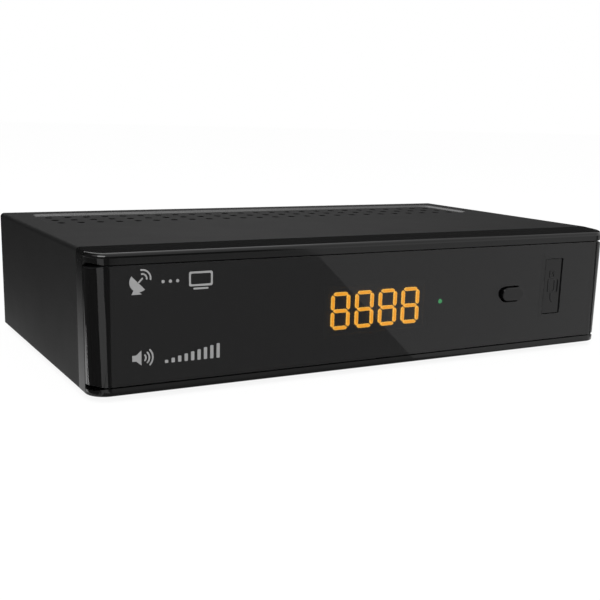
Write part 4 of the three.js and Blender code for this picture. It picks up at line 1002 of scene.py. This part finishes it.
def stroke(name, points, width, low, high):
    """A line of even width through points in X and Z, with round ends, as a thin solid."""
    points = [Vector(p) for p in points]
    left, right_side = [], []
    for i, here in enumerate(points):
        before = (here - points[i - 1]).normalized() if i else (points[1] - here).normalized()
        after = (points[i + 1] - here).normalized() if i + 1 < len(points) else before
        bisector = (before + after).normalized()
        normal = Vector((-bisector.y, bisector.x)) * (width / 2 / max(0.4, bisector.dot(before)))
        left.append(here + normal)
        right_side.append(here - normal)

    def end_cap(tip, outward):
        start = math.degrees(math.atan2(-outward.x, outward.y))
        return arc(width / 2, *tip, start + 180, start, 6)[1:-1]

    outline = [tuple(p) for p in left] + end_cap(points[-1], points[-1] - points[-2])
    outline += [tuple(p) for p in reversed(right_side)] + end_cap(points[0], points[0] - points[1])
    return prism(name, outline, "y", low, high)


def band(name, outline, width, low, high):
    """A closed outline drawn as an even band."""
    cx = sum(p[0] for p in outline) / len(outline)
    cz = sum(p[1] for p in outline) / len(outline)
    reach_x = max(abs(p[0] - cx) for p in outline)
    reach_z = max(abs(p[1] - cz) for p in outline)
    sx, sz = 1 - width / reach_x, 1 - width / reach_z
    within = [(cx + (x - cx) * sx, cz + (z - cz) * sz) for x, z in outline]
    hole = prism("hole", within, "y", low - 1, high + 1)
    return carved(prism(name, outline, "y", low, high), [hole])


# %% [markdown]
# ## The sign on the socket cover
#
# A moulded sign tells what the cover hides: a plain plug with its lead, raised by 0.15 mm. It is as
# matt as the bottom of its mould, and that is all that sets it off from the polished leaf.

# %% Plug sign
SIGN = (LEAF_FRONT - 0.15, LEAF_FRONT + 0.05)
SIGN_LINE = 0.36
x, z = FLAP[0] - 0.1, FLAP[1]
lead = [(x, z - 2.3), (x, z - 3.6), (x + 0.25, z - 4.3), (x + 0.7, z - 4.9)]
sign = [
    band("plug body", rounded(2.9, 4.2, 0.6, x, z + 0.2), SIGN_LINE, *SIGN),
    band("plug shell", rounded(2.0, 2.4, 0.3, x, z + 3.8), 0.34, *SIGN),
    prism("contact", rounded(0.36, 0.7, 0.1, x - 0.42, z + 4.1), "y", *SIGN),
    prism("contact", rounded(0.36, 0.7, 0.1, x + 0.42, z + 4.1), "y", *SIGN),
    stroke("lead", lead, SIGN_LINE, *SIGN),
]
sign = merged(sign)
sign.name = "socket_sign"
dressed(softened(sign, 0.05, 1), plastic["matt black ABS"], "flap", "matt_black")

# %% [markdown]
# ## Printed signs
#
# Grey ink, 0.02 mm thick, is screen printed on the plate at the left, in two places. Plain pictures
# stand there: a dish with its waves and a television above, a loudspeaker with rising bars below.
# The film is drawn a little thicker than real, so that it doesn't sink into the plate.

# %% Upper signs
INK = (-0.03, 0.0)
INK_LINE = 0.42
DISH, FIRST_DOT, SCREEN = (-71.6, 27.55), (-65.4, 27.4), (-55.4, 27.6)
DOT, DOT_PITCH = 0.42, 1.9
STAND = [(-57.2, 25.15), (-53.6, 25.15)]
x, z = DISH
foot = [(x - 1.9, z - 3), (x + 0.7, z - 3)]
bowl = arc(2.4, x, z, 140, 235, 9) + foot + arc(2.4, x, z, 272, 310, 5)
ink = [prism("dish", bowl, "y", *INK),
       stroke("feed arm", [(x, z), (x + 0.9, z + 0.9)], 0.4, *INK)]
for radius in (1.1, 2.1):
    ink.append(stroke("wave", arc(radius, x + 0.9, z + 0.9, -8, 98, 8), INK_LINE, *INK))
for i in range(3):
    outline = circle(DOT, FIRST_DOT[0] + DOT_PITCH * i, FIRST_DOT[1])
    ink.append(prism("dot", outline, "y", *INK))
ink.append(band("screen", rounded(6.4, 3.7, 0.5, *SCREEN), 0.5, *INK))
ink.append(stroke("stand", STAND, 0.45, *INK))
print("upper strokes:", len(ink))

# %% Lower signs
SPEAKER, FIRST_LEVEL = (-71.9, 8.7), (-64.6, 6.8)
LEVELS, LEVEL_PITCH, LEVEL_WIDTH, LOWEST, STEP_UP = 9, 1.75, 0.9, 0.8, 0.38
x, z = SPEAKER
horn = [(x - 1.6, z - 0.75), (x - 0.6, z - 0.75), (x + 0.75, z - 1.9), (x + 0.75, z + 1.9),
        (x - 0.6, z + 0.75), (x - 1.6, z + 0.75)]
ink.append(prism("speaker", horn, "y", *INK))
for radius in (1.0, 1.9, 2.8):
    ink.append(stroke("sound", arc(radius, x + 0.9, z, -42, 42, 8), INK_LINE, *INK))
for i in range(LEVELS):
    height = LOWEST + STEP_UP * i
    outline = rounded(LEVEL_WIDTH, height, 0.2, FIRST_LEVEL[0] + LEVEL_PITCH * i,
                      FIRST_LEVEL[1] + height / 2)
    ink.append(prism("level", outline, "y", *INK))
ink = merged(ink)
ink.name = "printed_signs"
ink.data.shade_flat()
dressed(ink, plastic["screen printing ink"], "case", "gloss_black")

# %% [markdown]
# ## Small parts from the CAD
#
# Chips, screws, sockets and boards already have the right shape, but their edges are knife-sharp
# and their round parts are facets. A copy of each gets its flat faces joined up and its edges
# broken, and stands for the original. A socket core is full of holes, and one face round them all
# would fill them, so its faces aren't joined up.

# %% Copies with soft edges
HOLED = ("television_socket_core", "video_socket_core", "data_socket_core")
CAD_WELD = 1e-6


def refined(node, material, slot, width_mm):
    """A copy of a CAD solid with broken edges, which stands for it."""
    source = nodes[node]
    mesh = source.data.copy()
    mesh.transform(source.matrix_world)
    piece = placed(node + "_fine", mesh)
    reworked(mesh, lambda body: bmesh.ops.remove_doubles(body, verts=body.verts, dist=CAD_WELD))
    return dressed(softened(piece, width_mm, join=node not in HOLED), material, "case", slot, node)


# %% Finish, slot and edge of each copy
tin = (metal["rolled tinplate"], "plated_metal")
tinned = (metal["rolled tinplate"], "tinplate")
nickel = (metal["nickel-plated brass"], "plated_metal")
aluminium = (metal["extruded aluminium"], "aluminium")
bright_steel = (metal["zinc-plated steel"], "bright_steel")
black_pbt = (plastic["black PBT"], "matt_black")
matt_abs = (plastic["matt black ABS"], "matt_black")
epoxy = (plastic["chip epoxy"], "chip")
FINE = {
    "base_tray": (powder_coat, "black_steel", 0.12),
    "video_socket_shell": (*tin, 0.08),
    "video_socket_core": (*black_pbt, 0.08),
    "television_socket_shield": (*tin, 0.1),
    "television_socket_core": (*black_pbt, 0.1),
    "power_socket_body": (*black_pbt, 0.15),
    "power_socket_pin": (*nickel, 0.15),
    "audio_socket_body": (plastic["orange PBT"], "orange_plastic", 0.15),
    "audio_socket_sleeve": (*nickel, 0.12),
    "aerial_nut": (*nickel, 0.25),
    "tuner_lid": (*tinned, 0.15),
    "tuner_frame": (*tinned, 0.08),
    "data_socket_shell": (*tin, 0.1),
    "data_socket_core": (*black_pbt, 0.1),
    "heat_sink": (*aluminium, 0.1),
    "display_housing": (*matt_abs, 0.15),
    "switch_body": (*matt_abs, 0.2),
    "link_header": (plastic["white nylon"], "white_plastic", 0.2),
    "crystal": (*tinned, 0.4),
    "processor": (*epoxy, 0.12),
    "memory_chip": (*epoxy, 0.12),
    "flash_chip": (*epoxy, 0.12),
    "regulator": (*epoxy, 0.15),
    "power_coil": (*epoxy, 0.15),
    "infrared_receiver": (*epoxy, 0.2),
}
FINE.update({f"capacitor_{i}": (*aluminium, 0.12) for i in range(1, 5)})
FINE.update({f"board_screw_{i}": (*bright_steel, 0.1) for i in range(1, 5)})
FINE.update({f"front_board_screw_{i}": (*bright_steel, 0.1) for i in range(1, 3)})
for node, (material, slot, width) in FINE.items():
    refined(node, material, slot, width)
print("softened copies:", len(FINE))

# %% [markdown]
# ## Boards, ribbon and lamp
#
# These CAD solids are flat or hidden, so their shape is good as it is and they only need a finish.

# %% Nodes that only need a finish
PLAIN = {
    "front_board": board_mask,
    "main_board": board_mask,
    "link_cable": ribbon_pvc,
    "switch_plunger": plastic["white nylon"],
    "status_lamp": plastic["clear polycarbonate"],
}
for node, material in PLAIN.items():
    nodes[node].data.materials.clear()
    nodes[node].data.materials.append(material)
print("plain nodes:", len(PLAIN))

# %% [markdown]
# ## Feet
#
# The feet are die-cut EPDM discs with a slightly dished sole and a rounded lip, stuck to the tray.
# Turning a profile of radius and height is the natural way to make them.

# %% Rubber feet
SOLE = -2
FOOT = [(3.2, 0.12), (3.5, 0.03), (3.8, 0.0), (4.4, 0.0), (4.75, 0.12), (4.93, 0.35), (5, 0.7),
        (5, 2)]
for end in ("front", "rear"):
    for side in ("left", "right"):
        node = f"foot_{end}_{side}"
        middle = middle_of(node)
        foot = turned(node + "_disc", FOOT, "z", middle.x, middle.y, SOLE)
        dressed(softened(foot, 0), plastic["EPDM rubber"], "case", "rubber", node)

# %% [markdown]
# ## Screws in the rear panel
#
# Pan-head screws with a cross recess hold the cover. The head is a low dome, and the cross has
# sloping walls, because the bit that presses it is tapered.

# %% Cover screws
SHANK = [(1.2, -5), (1.2, 0)]
DOME = [(2.7, 0), (2.7, 0.45), (2.6, 0.8), (2.35, 1.15), (1.95, 1.4), (1.4, 1.54), (0.7, 1.6)]
RECESS = ((0.35, 1.5, 0.8), (0.8, 3.1, 1.65))


def cross(width, length, x, z):
    """A plus sign in X and Z."""
    w, r = width / 2, length / 2
    quarter_arm = [(w, w), (w, r), (-w, r), (-w, w)]
    points = [(w, w)]
    for i in range(4):
        a = math.pi / 2 * i
        spun = [(u * math.cos(a) - v * math.sin(a), u * math.sin(a) + v * math.cos(a))
                for u, v in quarter_arm]
        points += spun[1:]
    return [(x + u, z + v) for u, v in points[:-1]]


for number, x in ((1, -SCREW_X), (2, SCREW_X)):
    screw = turned("cover_screw_head", SHANK + DOME, "y", x, SCREW_Z, DEPTH)
    rings = [laid(cross(width, length, x, SCREW_Z), "y", DEPTH + out)
             for width, length, out in RECESS]
    screw = carved(screw, [loft("cross", rings)])
    screw.name = f"pan_head_{number}"
    dressed(softened(screw, 0.05, 1), metal["black oxide steel"], "case", "black_screw",
            f"cover_screw_{number}")

# %% [markdown]
# ## The aerial socket
#
# A threaded F socket is turned from brass and nickel-plated: 32 threads to the inch, so a ridge
# each 0.79 mm. The helix is too fine to tell from rings, and rings are simple to turn. A white PTFE
# disc fills its mouth, with a small hole for the wire.

# %% Threaded socket
PITCH, THREAD_FOOT, THREAD_TOP, MOUTH = 0.79, 4.4, 4.72, 3.6
SHOULDER, SHOULDER_THICK, CHAMFER = 6.2, 1.5, 0.7
low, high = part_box("aerial_socket")
middle = middle_of("aerial_socket")
root, rear = in_case(low).y, in_case(high).y
start, stop = 2.0, rear - root - CHAMFER
threads = int((stop - start) / PITCH)
profile = [(SHOULDER, 0), (SHOULDER, SHOULDER_THICK), (THREAD_FOOT, SHOULDER_THICK)]
for i in range(threads):
    y = start + i * PITCH
    profile += [(THREAD_FOOT, y), (THREAD_TOP, y + PITCH * 0.38), (THREAD_TOP, y + PITCH * 0.5),
                (THREAD_FOOT, y + PITCH * 0.88)]
profile += [(THREAD_FOOT, stop + 0.1), (4.2, stop + CHAMFER), (3.75, stop + CHAMFER),
            (MOUTH, stop + 0.55), (MOUTH, stop - 0.5)]
socket = turned("aerial_thread", profile, "y", middle.x, middle.z, root)
dressed(softened(socket, 0.03, 1), metal["nickel-plated brass"], "case", "plated_metal",
        "aerial_socket")
disc = [(3.55, -0.4), (3.55, 0), (0.9, 0), (0.6, -0.12), (0.6, -0.39)]
insulator = turned("aerial_insulator", disc, "y", middle.x, middle.z, rear - 1.2)
dressed(softened(insulator, 0.03, 1), plastic["white nylon"], "case", "white_plastic")
print("threads:", threads)

# %% [markdown]
# ## The studio
#
# The receiver stands on a white sweep that runs out of sight. For the camera, and in anything
# shiny, the sweep and the air behind it are plain white. To every other ray the sweep is pale
# paper, and the air is a soft grey fill.

# %% Air
AIR_FILL = 0.62


def looked_at(tree):
    """1 where the camera, a mirror or a clear thing looks, 0 for light that falls on things."""
    path = add(tree, "ShaderNodeLightPath")
    seen = path.outputs["Is Camera Ray"]
    for ray in ("Is Glossy Ray", "Is Transmission Ray"):
        seen = add(tree, "ShaderNodeMath", {0: seen, 1: path.outputs[ray]},
                   operation="MAXIMUM").outputs[0]
    return seen


world = bpy.data.worlds.new("studio air")
bpy.context.scene.world = world
tree = empty_tree(world)
fill = add(tree, "ShaderNodeBackground", {"Color": "#ffffff", "Strength": AIR_FILL})
white = add(tree, "ShaderNodeBackground", {"Color": "#ffffff", "Strength": 1.0})
both = add(tree, "ShaderNodeMixShader", {
    0: looked_at(tree), 1: fill.outputs[0], 2: white.outputs[0]})
add(tree, "ShaderNodeOutputWorld", {"Surface": both.outputs[0]})
print("fill", AIR_FILL)

# %% Sweep
FLOOR = -tray_z / MM
REACH = 6000


def flat(name, corners, material):
    """A flat sheet through corners given in case millimetres, which isn't part of the object."""
    mesh = bpy.data.meshes.new(name)
    mesh.from_pydata([CASE @ Vector(c) for c in corners], [], [list(range(len(corners)))])
    mesh.materials.append(material)
    made = placed(name, mesh)
    return made


white_paper = bpy.data.materials.new("white paper sweep")
tree = empty_tree(white_paper)
paper = add(tree, "ShaderNodeBsdfDiffuse", {"Color": "#e6e6e6"})
shade = add(tree, "ShaderNodeBsdfDiffuse", {"Color": "#6a6a6a"})
lift = add(tree, "ShaderNodeEmission", {"Color": "#ffffff", "Strength": 0.9})
shown = add(tree, "ShaderNodeAddShader", {0: shade.outputs[0], 1: lift.outputs[0]})
both = add(tree, "ShaderNodeMixShader", {
    0: looked_at(tree), 1: paper.outputs[0], 2: shown.outputs[0]})
add(tree, "ShaderNodeOutputMaterial", {"Surface": both.outputs[0]})
flat("sweep", laid(oblong(-REACH, REACH, -REACH, REACH), "z", FLOOR), white_paper)
print("floor at", round(FLOOR, 2), "mm")

# %% [markdown]
# ## Cards and flags
#
# A black glossy thing is lit by what it mirrors. A photographer lays dark and pale cards just out
# of the frame, and moves them until the reflections draw the shape: here a dark card left of the
# middle, with its slanted edge on the plate, and black flags with one pale gap between them that
# stripe the round corner. A card only shows in reflections, so it throws no shadow and the camera
# doesn't see it. Its level is its brightness, with 1 for white, and it may fade towards one side.

# %% Making a card
X, Y = 0, 1
cards = []


def card(name, corners, level, fade=None):
    """A card seen only in reflections. A fade is its axis, start, end, last level and power."""
    made = bpy.data.materials.new(name)
    tree = empty_tree(made)
    glow = add(tree, "ShaderNodeEmission", {"Color": "#ffffff", "Strength": level})
    if fade:
        axis, start, end, last, power = fade
        shift = CASE.translation[axis]
        place = add(tree, "ShaderNodeNewGeometry")
        split = add(tree, "ShaderNodeSeparateXYZ", {0: place.outputs["Position"]})
        left_over = add(tree, "ShaderNodeMapRange", {
            "Value": split.outputs[axis],
            "From Min": end * MM + shift, "From Max": start * MM + shift})
        curve = add(tree, "ShaderNodeMath", {0: left_over.outputs[0], 1: power}, operation="POWER")
        ramp = add(tree, "ShaderNodeMapRange", {
            "Value": curve.outputs[0], "To Min": last, "To Max": level})
        tree.links.new(ramp.outputs[0], glow.inputs["Strength"])
    add(tree, "ShaderNodeOutputMaterial", {"Surface": glow.outputs[0]})
    sheet = flat(name, corners, made)
    for ray in ("camera", "diffuse", "transmission", "volume_scatter", "shadow"):
        setattr(sheet, "visible_" + ray, False)
    cards.append(sheet)


# %% [markdown]
# ## Where a reflection falls
#
# A card is placed backwards: from the place on the case where its edge should show, along the line
# of sight and its mirror image, down to the floor. Two such points give an edge on the flat front,
# and three levels give an edge on the round corner, where the turn of the surface is what counts.

# %% Edges found by mirroring
CARD_LEVEL = FLOOR + 0.5
FRONT_LEVELS = (0.5, 33.5)
CORNER_LEVELS = (1, 17, 33)


def mirrored(point, normal):
    """Where the line of sight to a point meets the floor, after the case has mirrored it."""
    sight = (Vector(point) - EYE).normalized()
    away = sight - 2 * sight.dot(normal) * Vector(normal)
    return Vector(point) + away * ((CARD_LEVEL - point[2]) / away.z)


def front_line(x_low, x_high):
    """A card edge whose image on the flat front runs from one place, low, to another, high."""
    near, far = (mirrored((x, 0, z), (0, -1, 0)) for x, z in zip((x_low, x_high), FRONT_LEVELS))
    return [near, near + (far - near) * 6]


def corner_line(side, turns):
    """A card edge whose image on the round corner lies at one turn for each of three levels."""
    found = []
    for turn, z in zip(turns, CORNER_LEVELS):
        a = math.radians(turn)
        normal = Vector((side * math.sin(a), -math.cos(a), 0))
        found.append(mirrored(Vector((side * FLAT_EDGE, CORNER, z)) + CORNER * normal, normal))
    return found + [found[1] + (found[2] - found[1]) * 4]


# %% Cards on the floor
SIDE = 1500
left_edge = front_line(-FLAT_EDGE, -FLAT_EDGE)
diagonal = front_line(10.9, -23.6)
gap_start = corner_line(-1, (9, 12, 15))
gap_end = corner_line(-1, (27, 30, 32))
glint_start = corner_line(-1, (67, 73, 82))
glint_end = corner_line(-1, (79, 81, 86))
flag_start = corner_line(1, (17, 7, 2))
flag_end = corner_line(1, (25, 14, 8))
far_end = corner_line(1, (36, 36, 36))
beside = [Vector((-HALF - 1, y, CARD_LEVEL)) for y in (-40, SIDE)]
card("front_left_card", left_edge + diagonal[::-1], level=0.43)
card("front_right_card", diagonal + flag_start[::-1], level=0.74)
card("corner_flag_1", left_edge + gap_start[::-1], level=0.15)
card("corner_gap", gap_start + gap_end[::-1], level=0.93)
card("corner_flag_2", gap_end + glint_start[::-1], level=0.14)
card("corner_glint", glint_start + glint_end[::-1], level=2.1, fade=(Y, 30, 150, 0.05, 2))
card("left_card", [beside[0], *glint_end, Vector((-SIDE, SIDE, CARD_LEVEL)), beside[1]],
     level=0.55, fade=(X, -88, -160, 0.03, 2.2))
card("right_flag", flag_start + flag_end[::-1], level=0.1)
card("right_far_card", flag_end + far_end[::-1], level=0.55)
card("near_flag", laid(oblong(-HALF, HALF, -0.3, -7), "z", CARD_LEVEL), level=0.25)
print("cards on the floor:", len(cards))

# %% [markdown]
# ## Wall and roof
#
# The round crest of the bezel mirrors the wall behind the box and the roof above it, squeezed into
# one thin line. So both are made of panels, and each lights its own length of that line: bright at
# the left corner, dark where the line breaks off, and paler to the right. The long panel behind
# and the one over it fade, as the line does. Dark flags at the front and the left keep the second,
# lower line faint.

# %% Wall behind
FAR, BACK, ROOF = 2500, 1200, 1300
LEAN_TOP, LEAN_LOW = 900, 880
CORNER_LEFT, CORNER_RIGHT = -200, 320
PANEL_LOW = (610, 680)
CURL_LEFT, CURL_RIGHT, CURL_LOW = -340, -80, 640


def leaning(left, right, lows=(LEAN_LOW, LEAN_LOW)):
    """Corners of a panel that leans forward from the wall to the roof."""
    return [(left, BACK, lows[0]), (right, BACK, lows[1]), (right, LEAN_TOP, ROOF),
            (left, LEAN_TOP, ROOF)]


wall = [(-FAR, CARD_LEVEL), (FAR, CARD_LEVEL), (FAR, PANEL_LOW[1]), (CORNER_RIGHT, PANEL_LOW[0]),
        (CORNER_RIGHT, LEAN_LOW), (CURL_RIGHT, LEAN_LOW), (CURL_RIGHT, CURL_LOW),
        (CURL_LEFT, CURL_LOW), (CURL_LEFT, LEAN_LOW), (-FAR, LEAN_LOW)]
card("back_flag", laid(wall, "y", BACK), level=0.03)
card("curl_card", laid(oblong(CURL_LEFT, CURL_RIGHT, CURL_LOW, LEAN_LOW), "y", BACK), level=1.4)
card("back_left_panel", leaning(-FAR, CORNER_LEFT), level=0.05)
card("corner_panel", leaning(CORNER_LEFT, CORNER_RIGHT), level=2.2)
card("back_panel", leaning(CORNER_RIGHT, FAR, PANEL_LOW), level=1.3, fade=(X, 350, 1250, 0.02, 1))
print("cards with the wall:", len(cards))

# %% Roof and sides
TOP_LEFT, ROOF_LEFT, STRIP_LEFT, STRIP_FRONT = -150, -100, -1200, -1300
NOTCH_NEAR, NOTCH_FAR = 1050, 1400


def overhead(left, right, rear, front):
    """Corners of a rectangle in the roof."""
    return laid(oblong(left, right, rear, front), "z", ROOF)


roof_end = [(NOTCH_NEAR, -SIDE), (FAR, -SIDE), (FAR, -FAR), (NOTCH_FAR, -FAR)]
dark_end = [(-FAR, STRIP_FRONT), (ROOF_LEFT, STRIP_FRONT), (ROOF_LEFT, -SIDE),
            (NOTCH_NEAR, -SIDE), (NOTCH_FAR, -FAR), (-FAR, -FAR)]
card("top_left_strip", overhead(-FAR, TOP_LEFT, LEAN_TOP, 0), level=0.15)
card("top_strip", overhead(TOP_LEFT, FAR, LEAN_TOP, 0), level=1.1, fade=(X, 300, 1100, 0.7, 1))
card("left_strip", overhead(STRIP_LEFT, ROOF_LEFT, 0, STRIP_FRONT), level=1.0)
card("roof", overhead(ROOF_LEFT, FAR, 0, -SIDE), level=0.75)
card("far_roof", laid(roof_end, "z", ROOF), level=0.85)
card("far_flag", laid(dark_end, "z", ROOF), level=0.1)
card("front_flag", laid(oblong(-FAR, NOTCH_FAR, 0, ROOF), "y", -FAR), level=0.1)
card("left_flag", laid(oblong(-FAR, SIDE, CARD_LEVEL, ROOF), "x", -SIDE), level=0.15)
print("cards and flags:", len(cards))

# %% [markdown]
# ## Lamps
#
# One large softbox hangs in front and above, to the left of the camera, where the long top edge
# doesn't mirror it. It lights the print and the screws and sockets, and the fill from the air does
# the rest.

# %% Softbox
HANGS_AT = Vector((-350, -600, 850))
AIM = Vector((0, 40, 15))
SOFTBOX_WIDTH, SOFTBOX_HEIGHT, WATTS = 600, 450, 5.0
lamp = bpy.data.lights.new("softbox", "AREA")
lamp.shape, lamp.energy = "RECTANGLE", WATTS
lamp.size, lamp.size_y = SOFTBOX_WIDTH * MM, SOFTBOX_HEIGHT * MM
softbox = placed("softbox", lamp)
softbox.location = CASE @ HANGS_AT
softbox.rotation_euler = (CASE @ AIM - softbox.location).to_track_quat("-Z", "Y").to_euler()
print("softbox of", WATTS, "W at", [round(v, 3) for v in softbox.location])
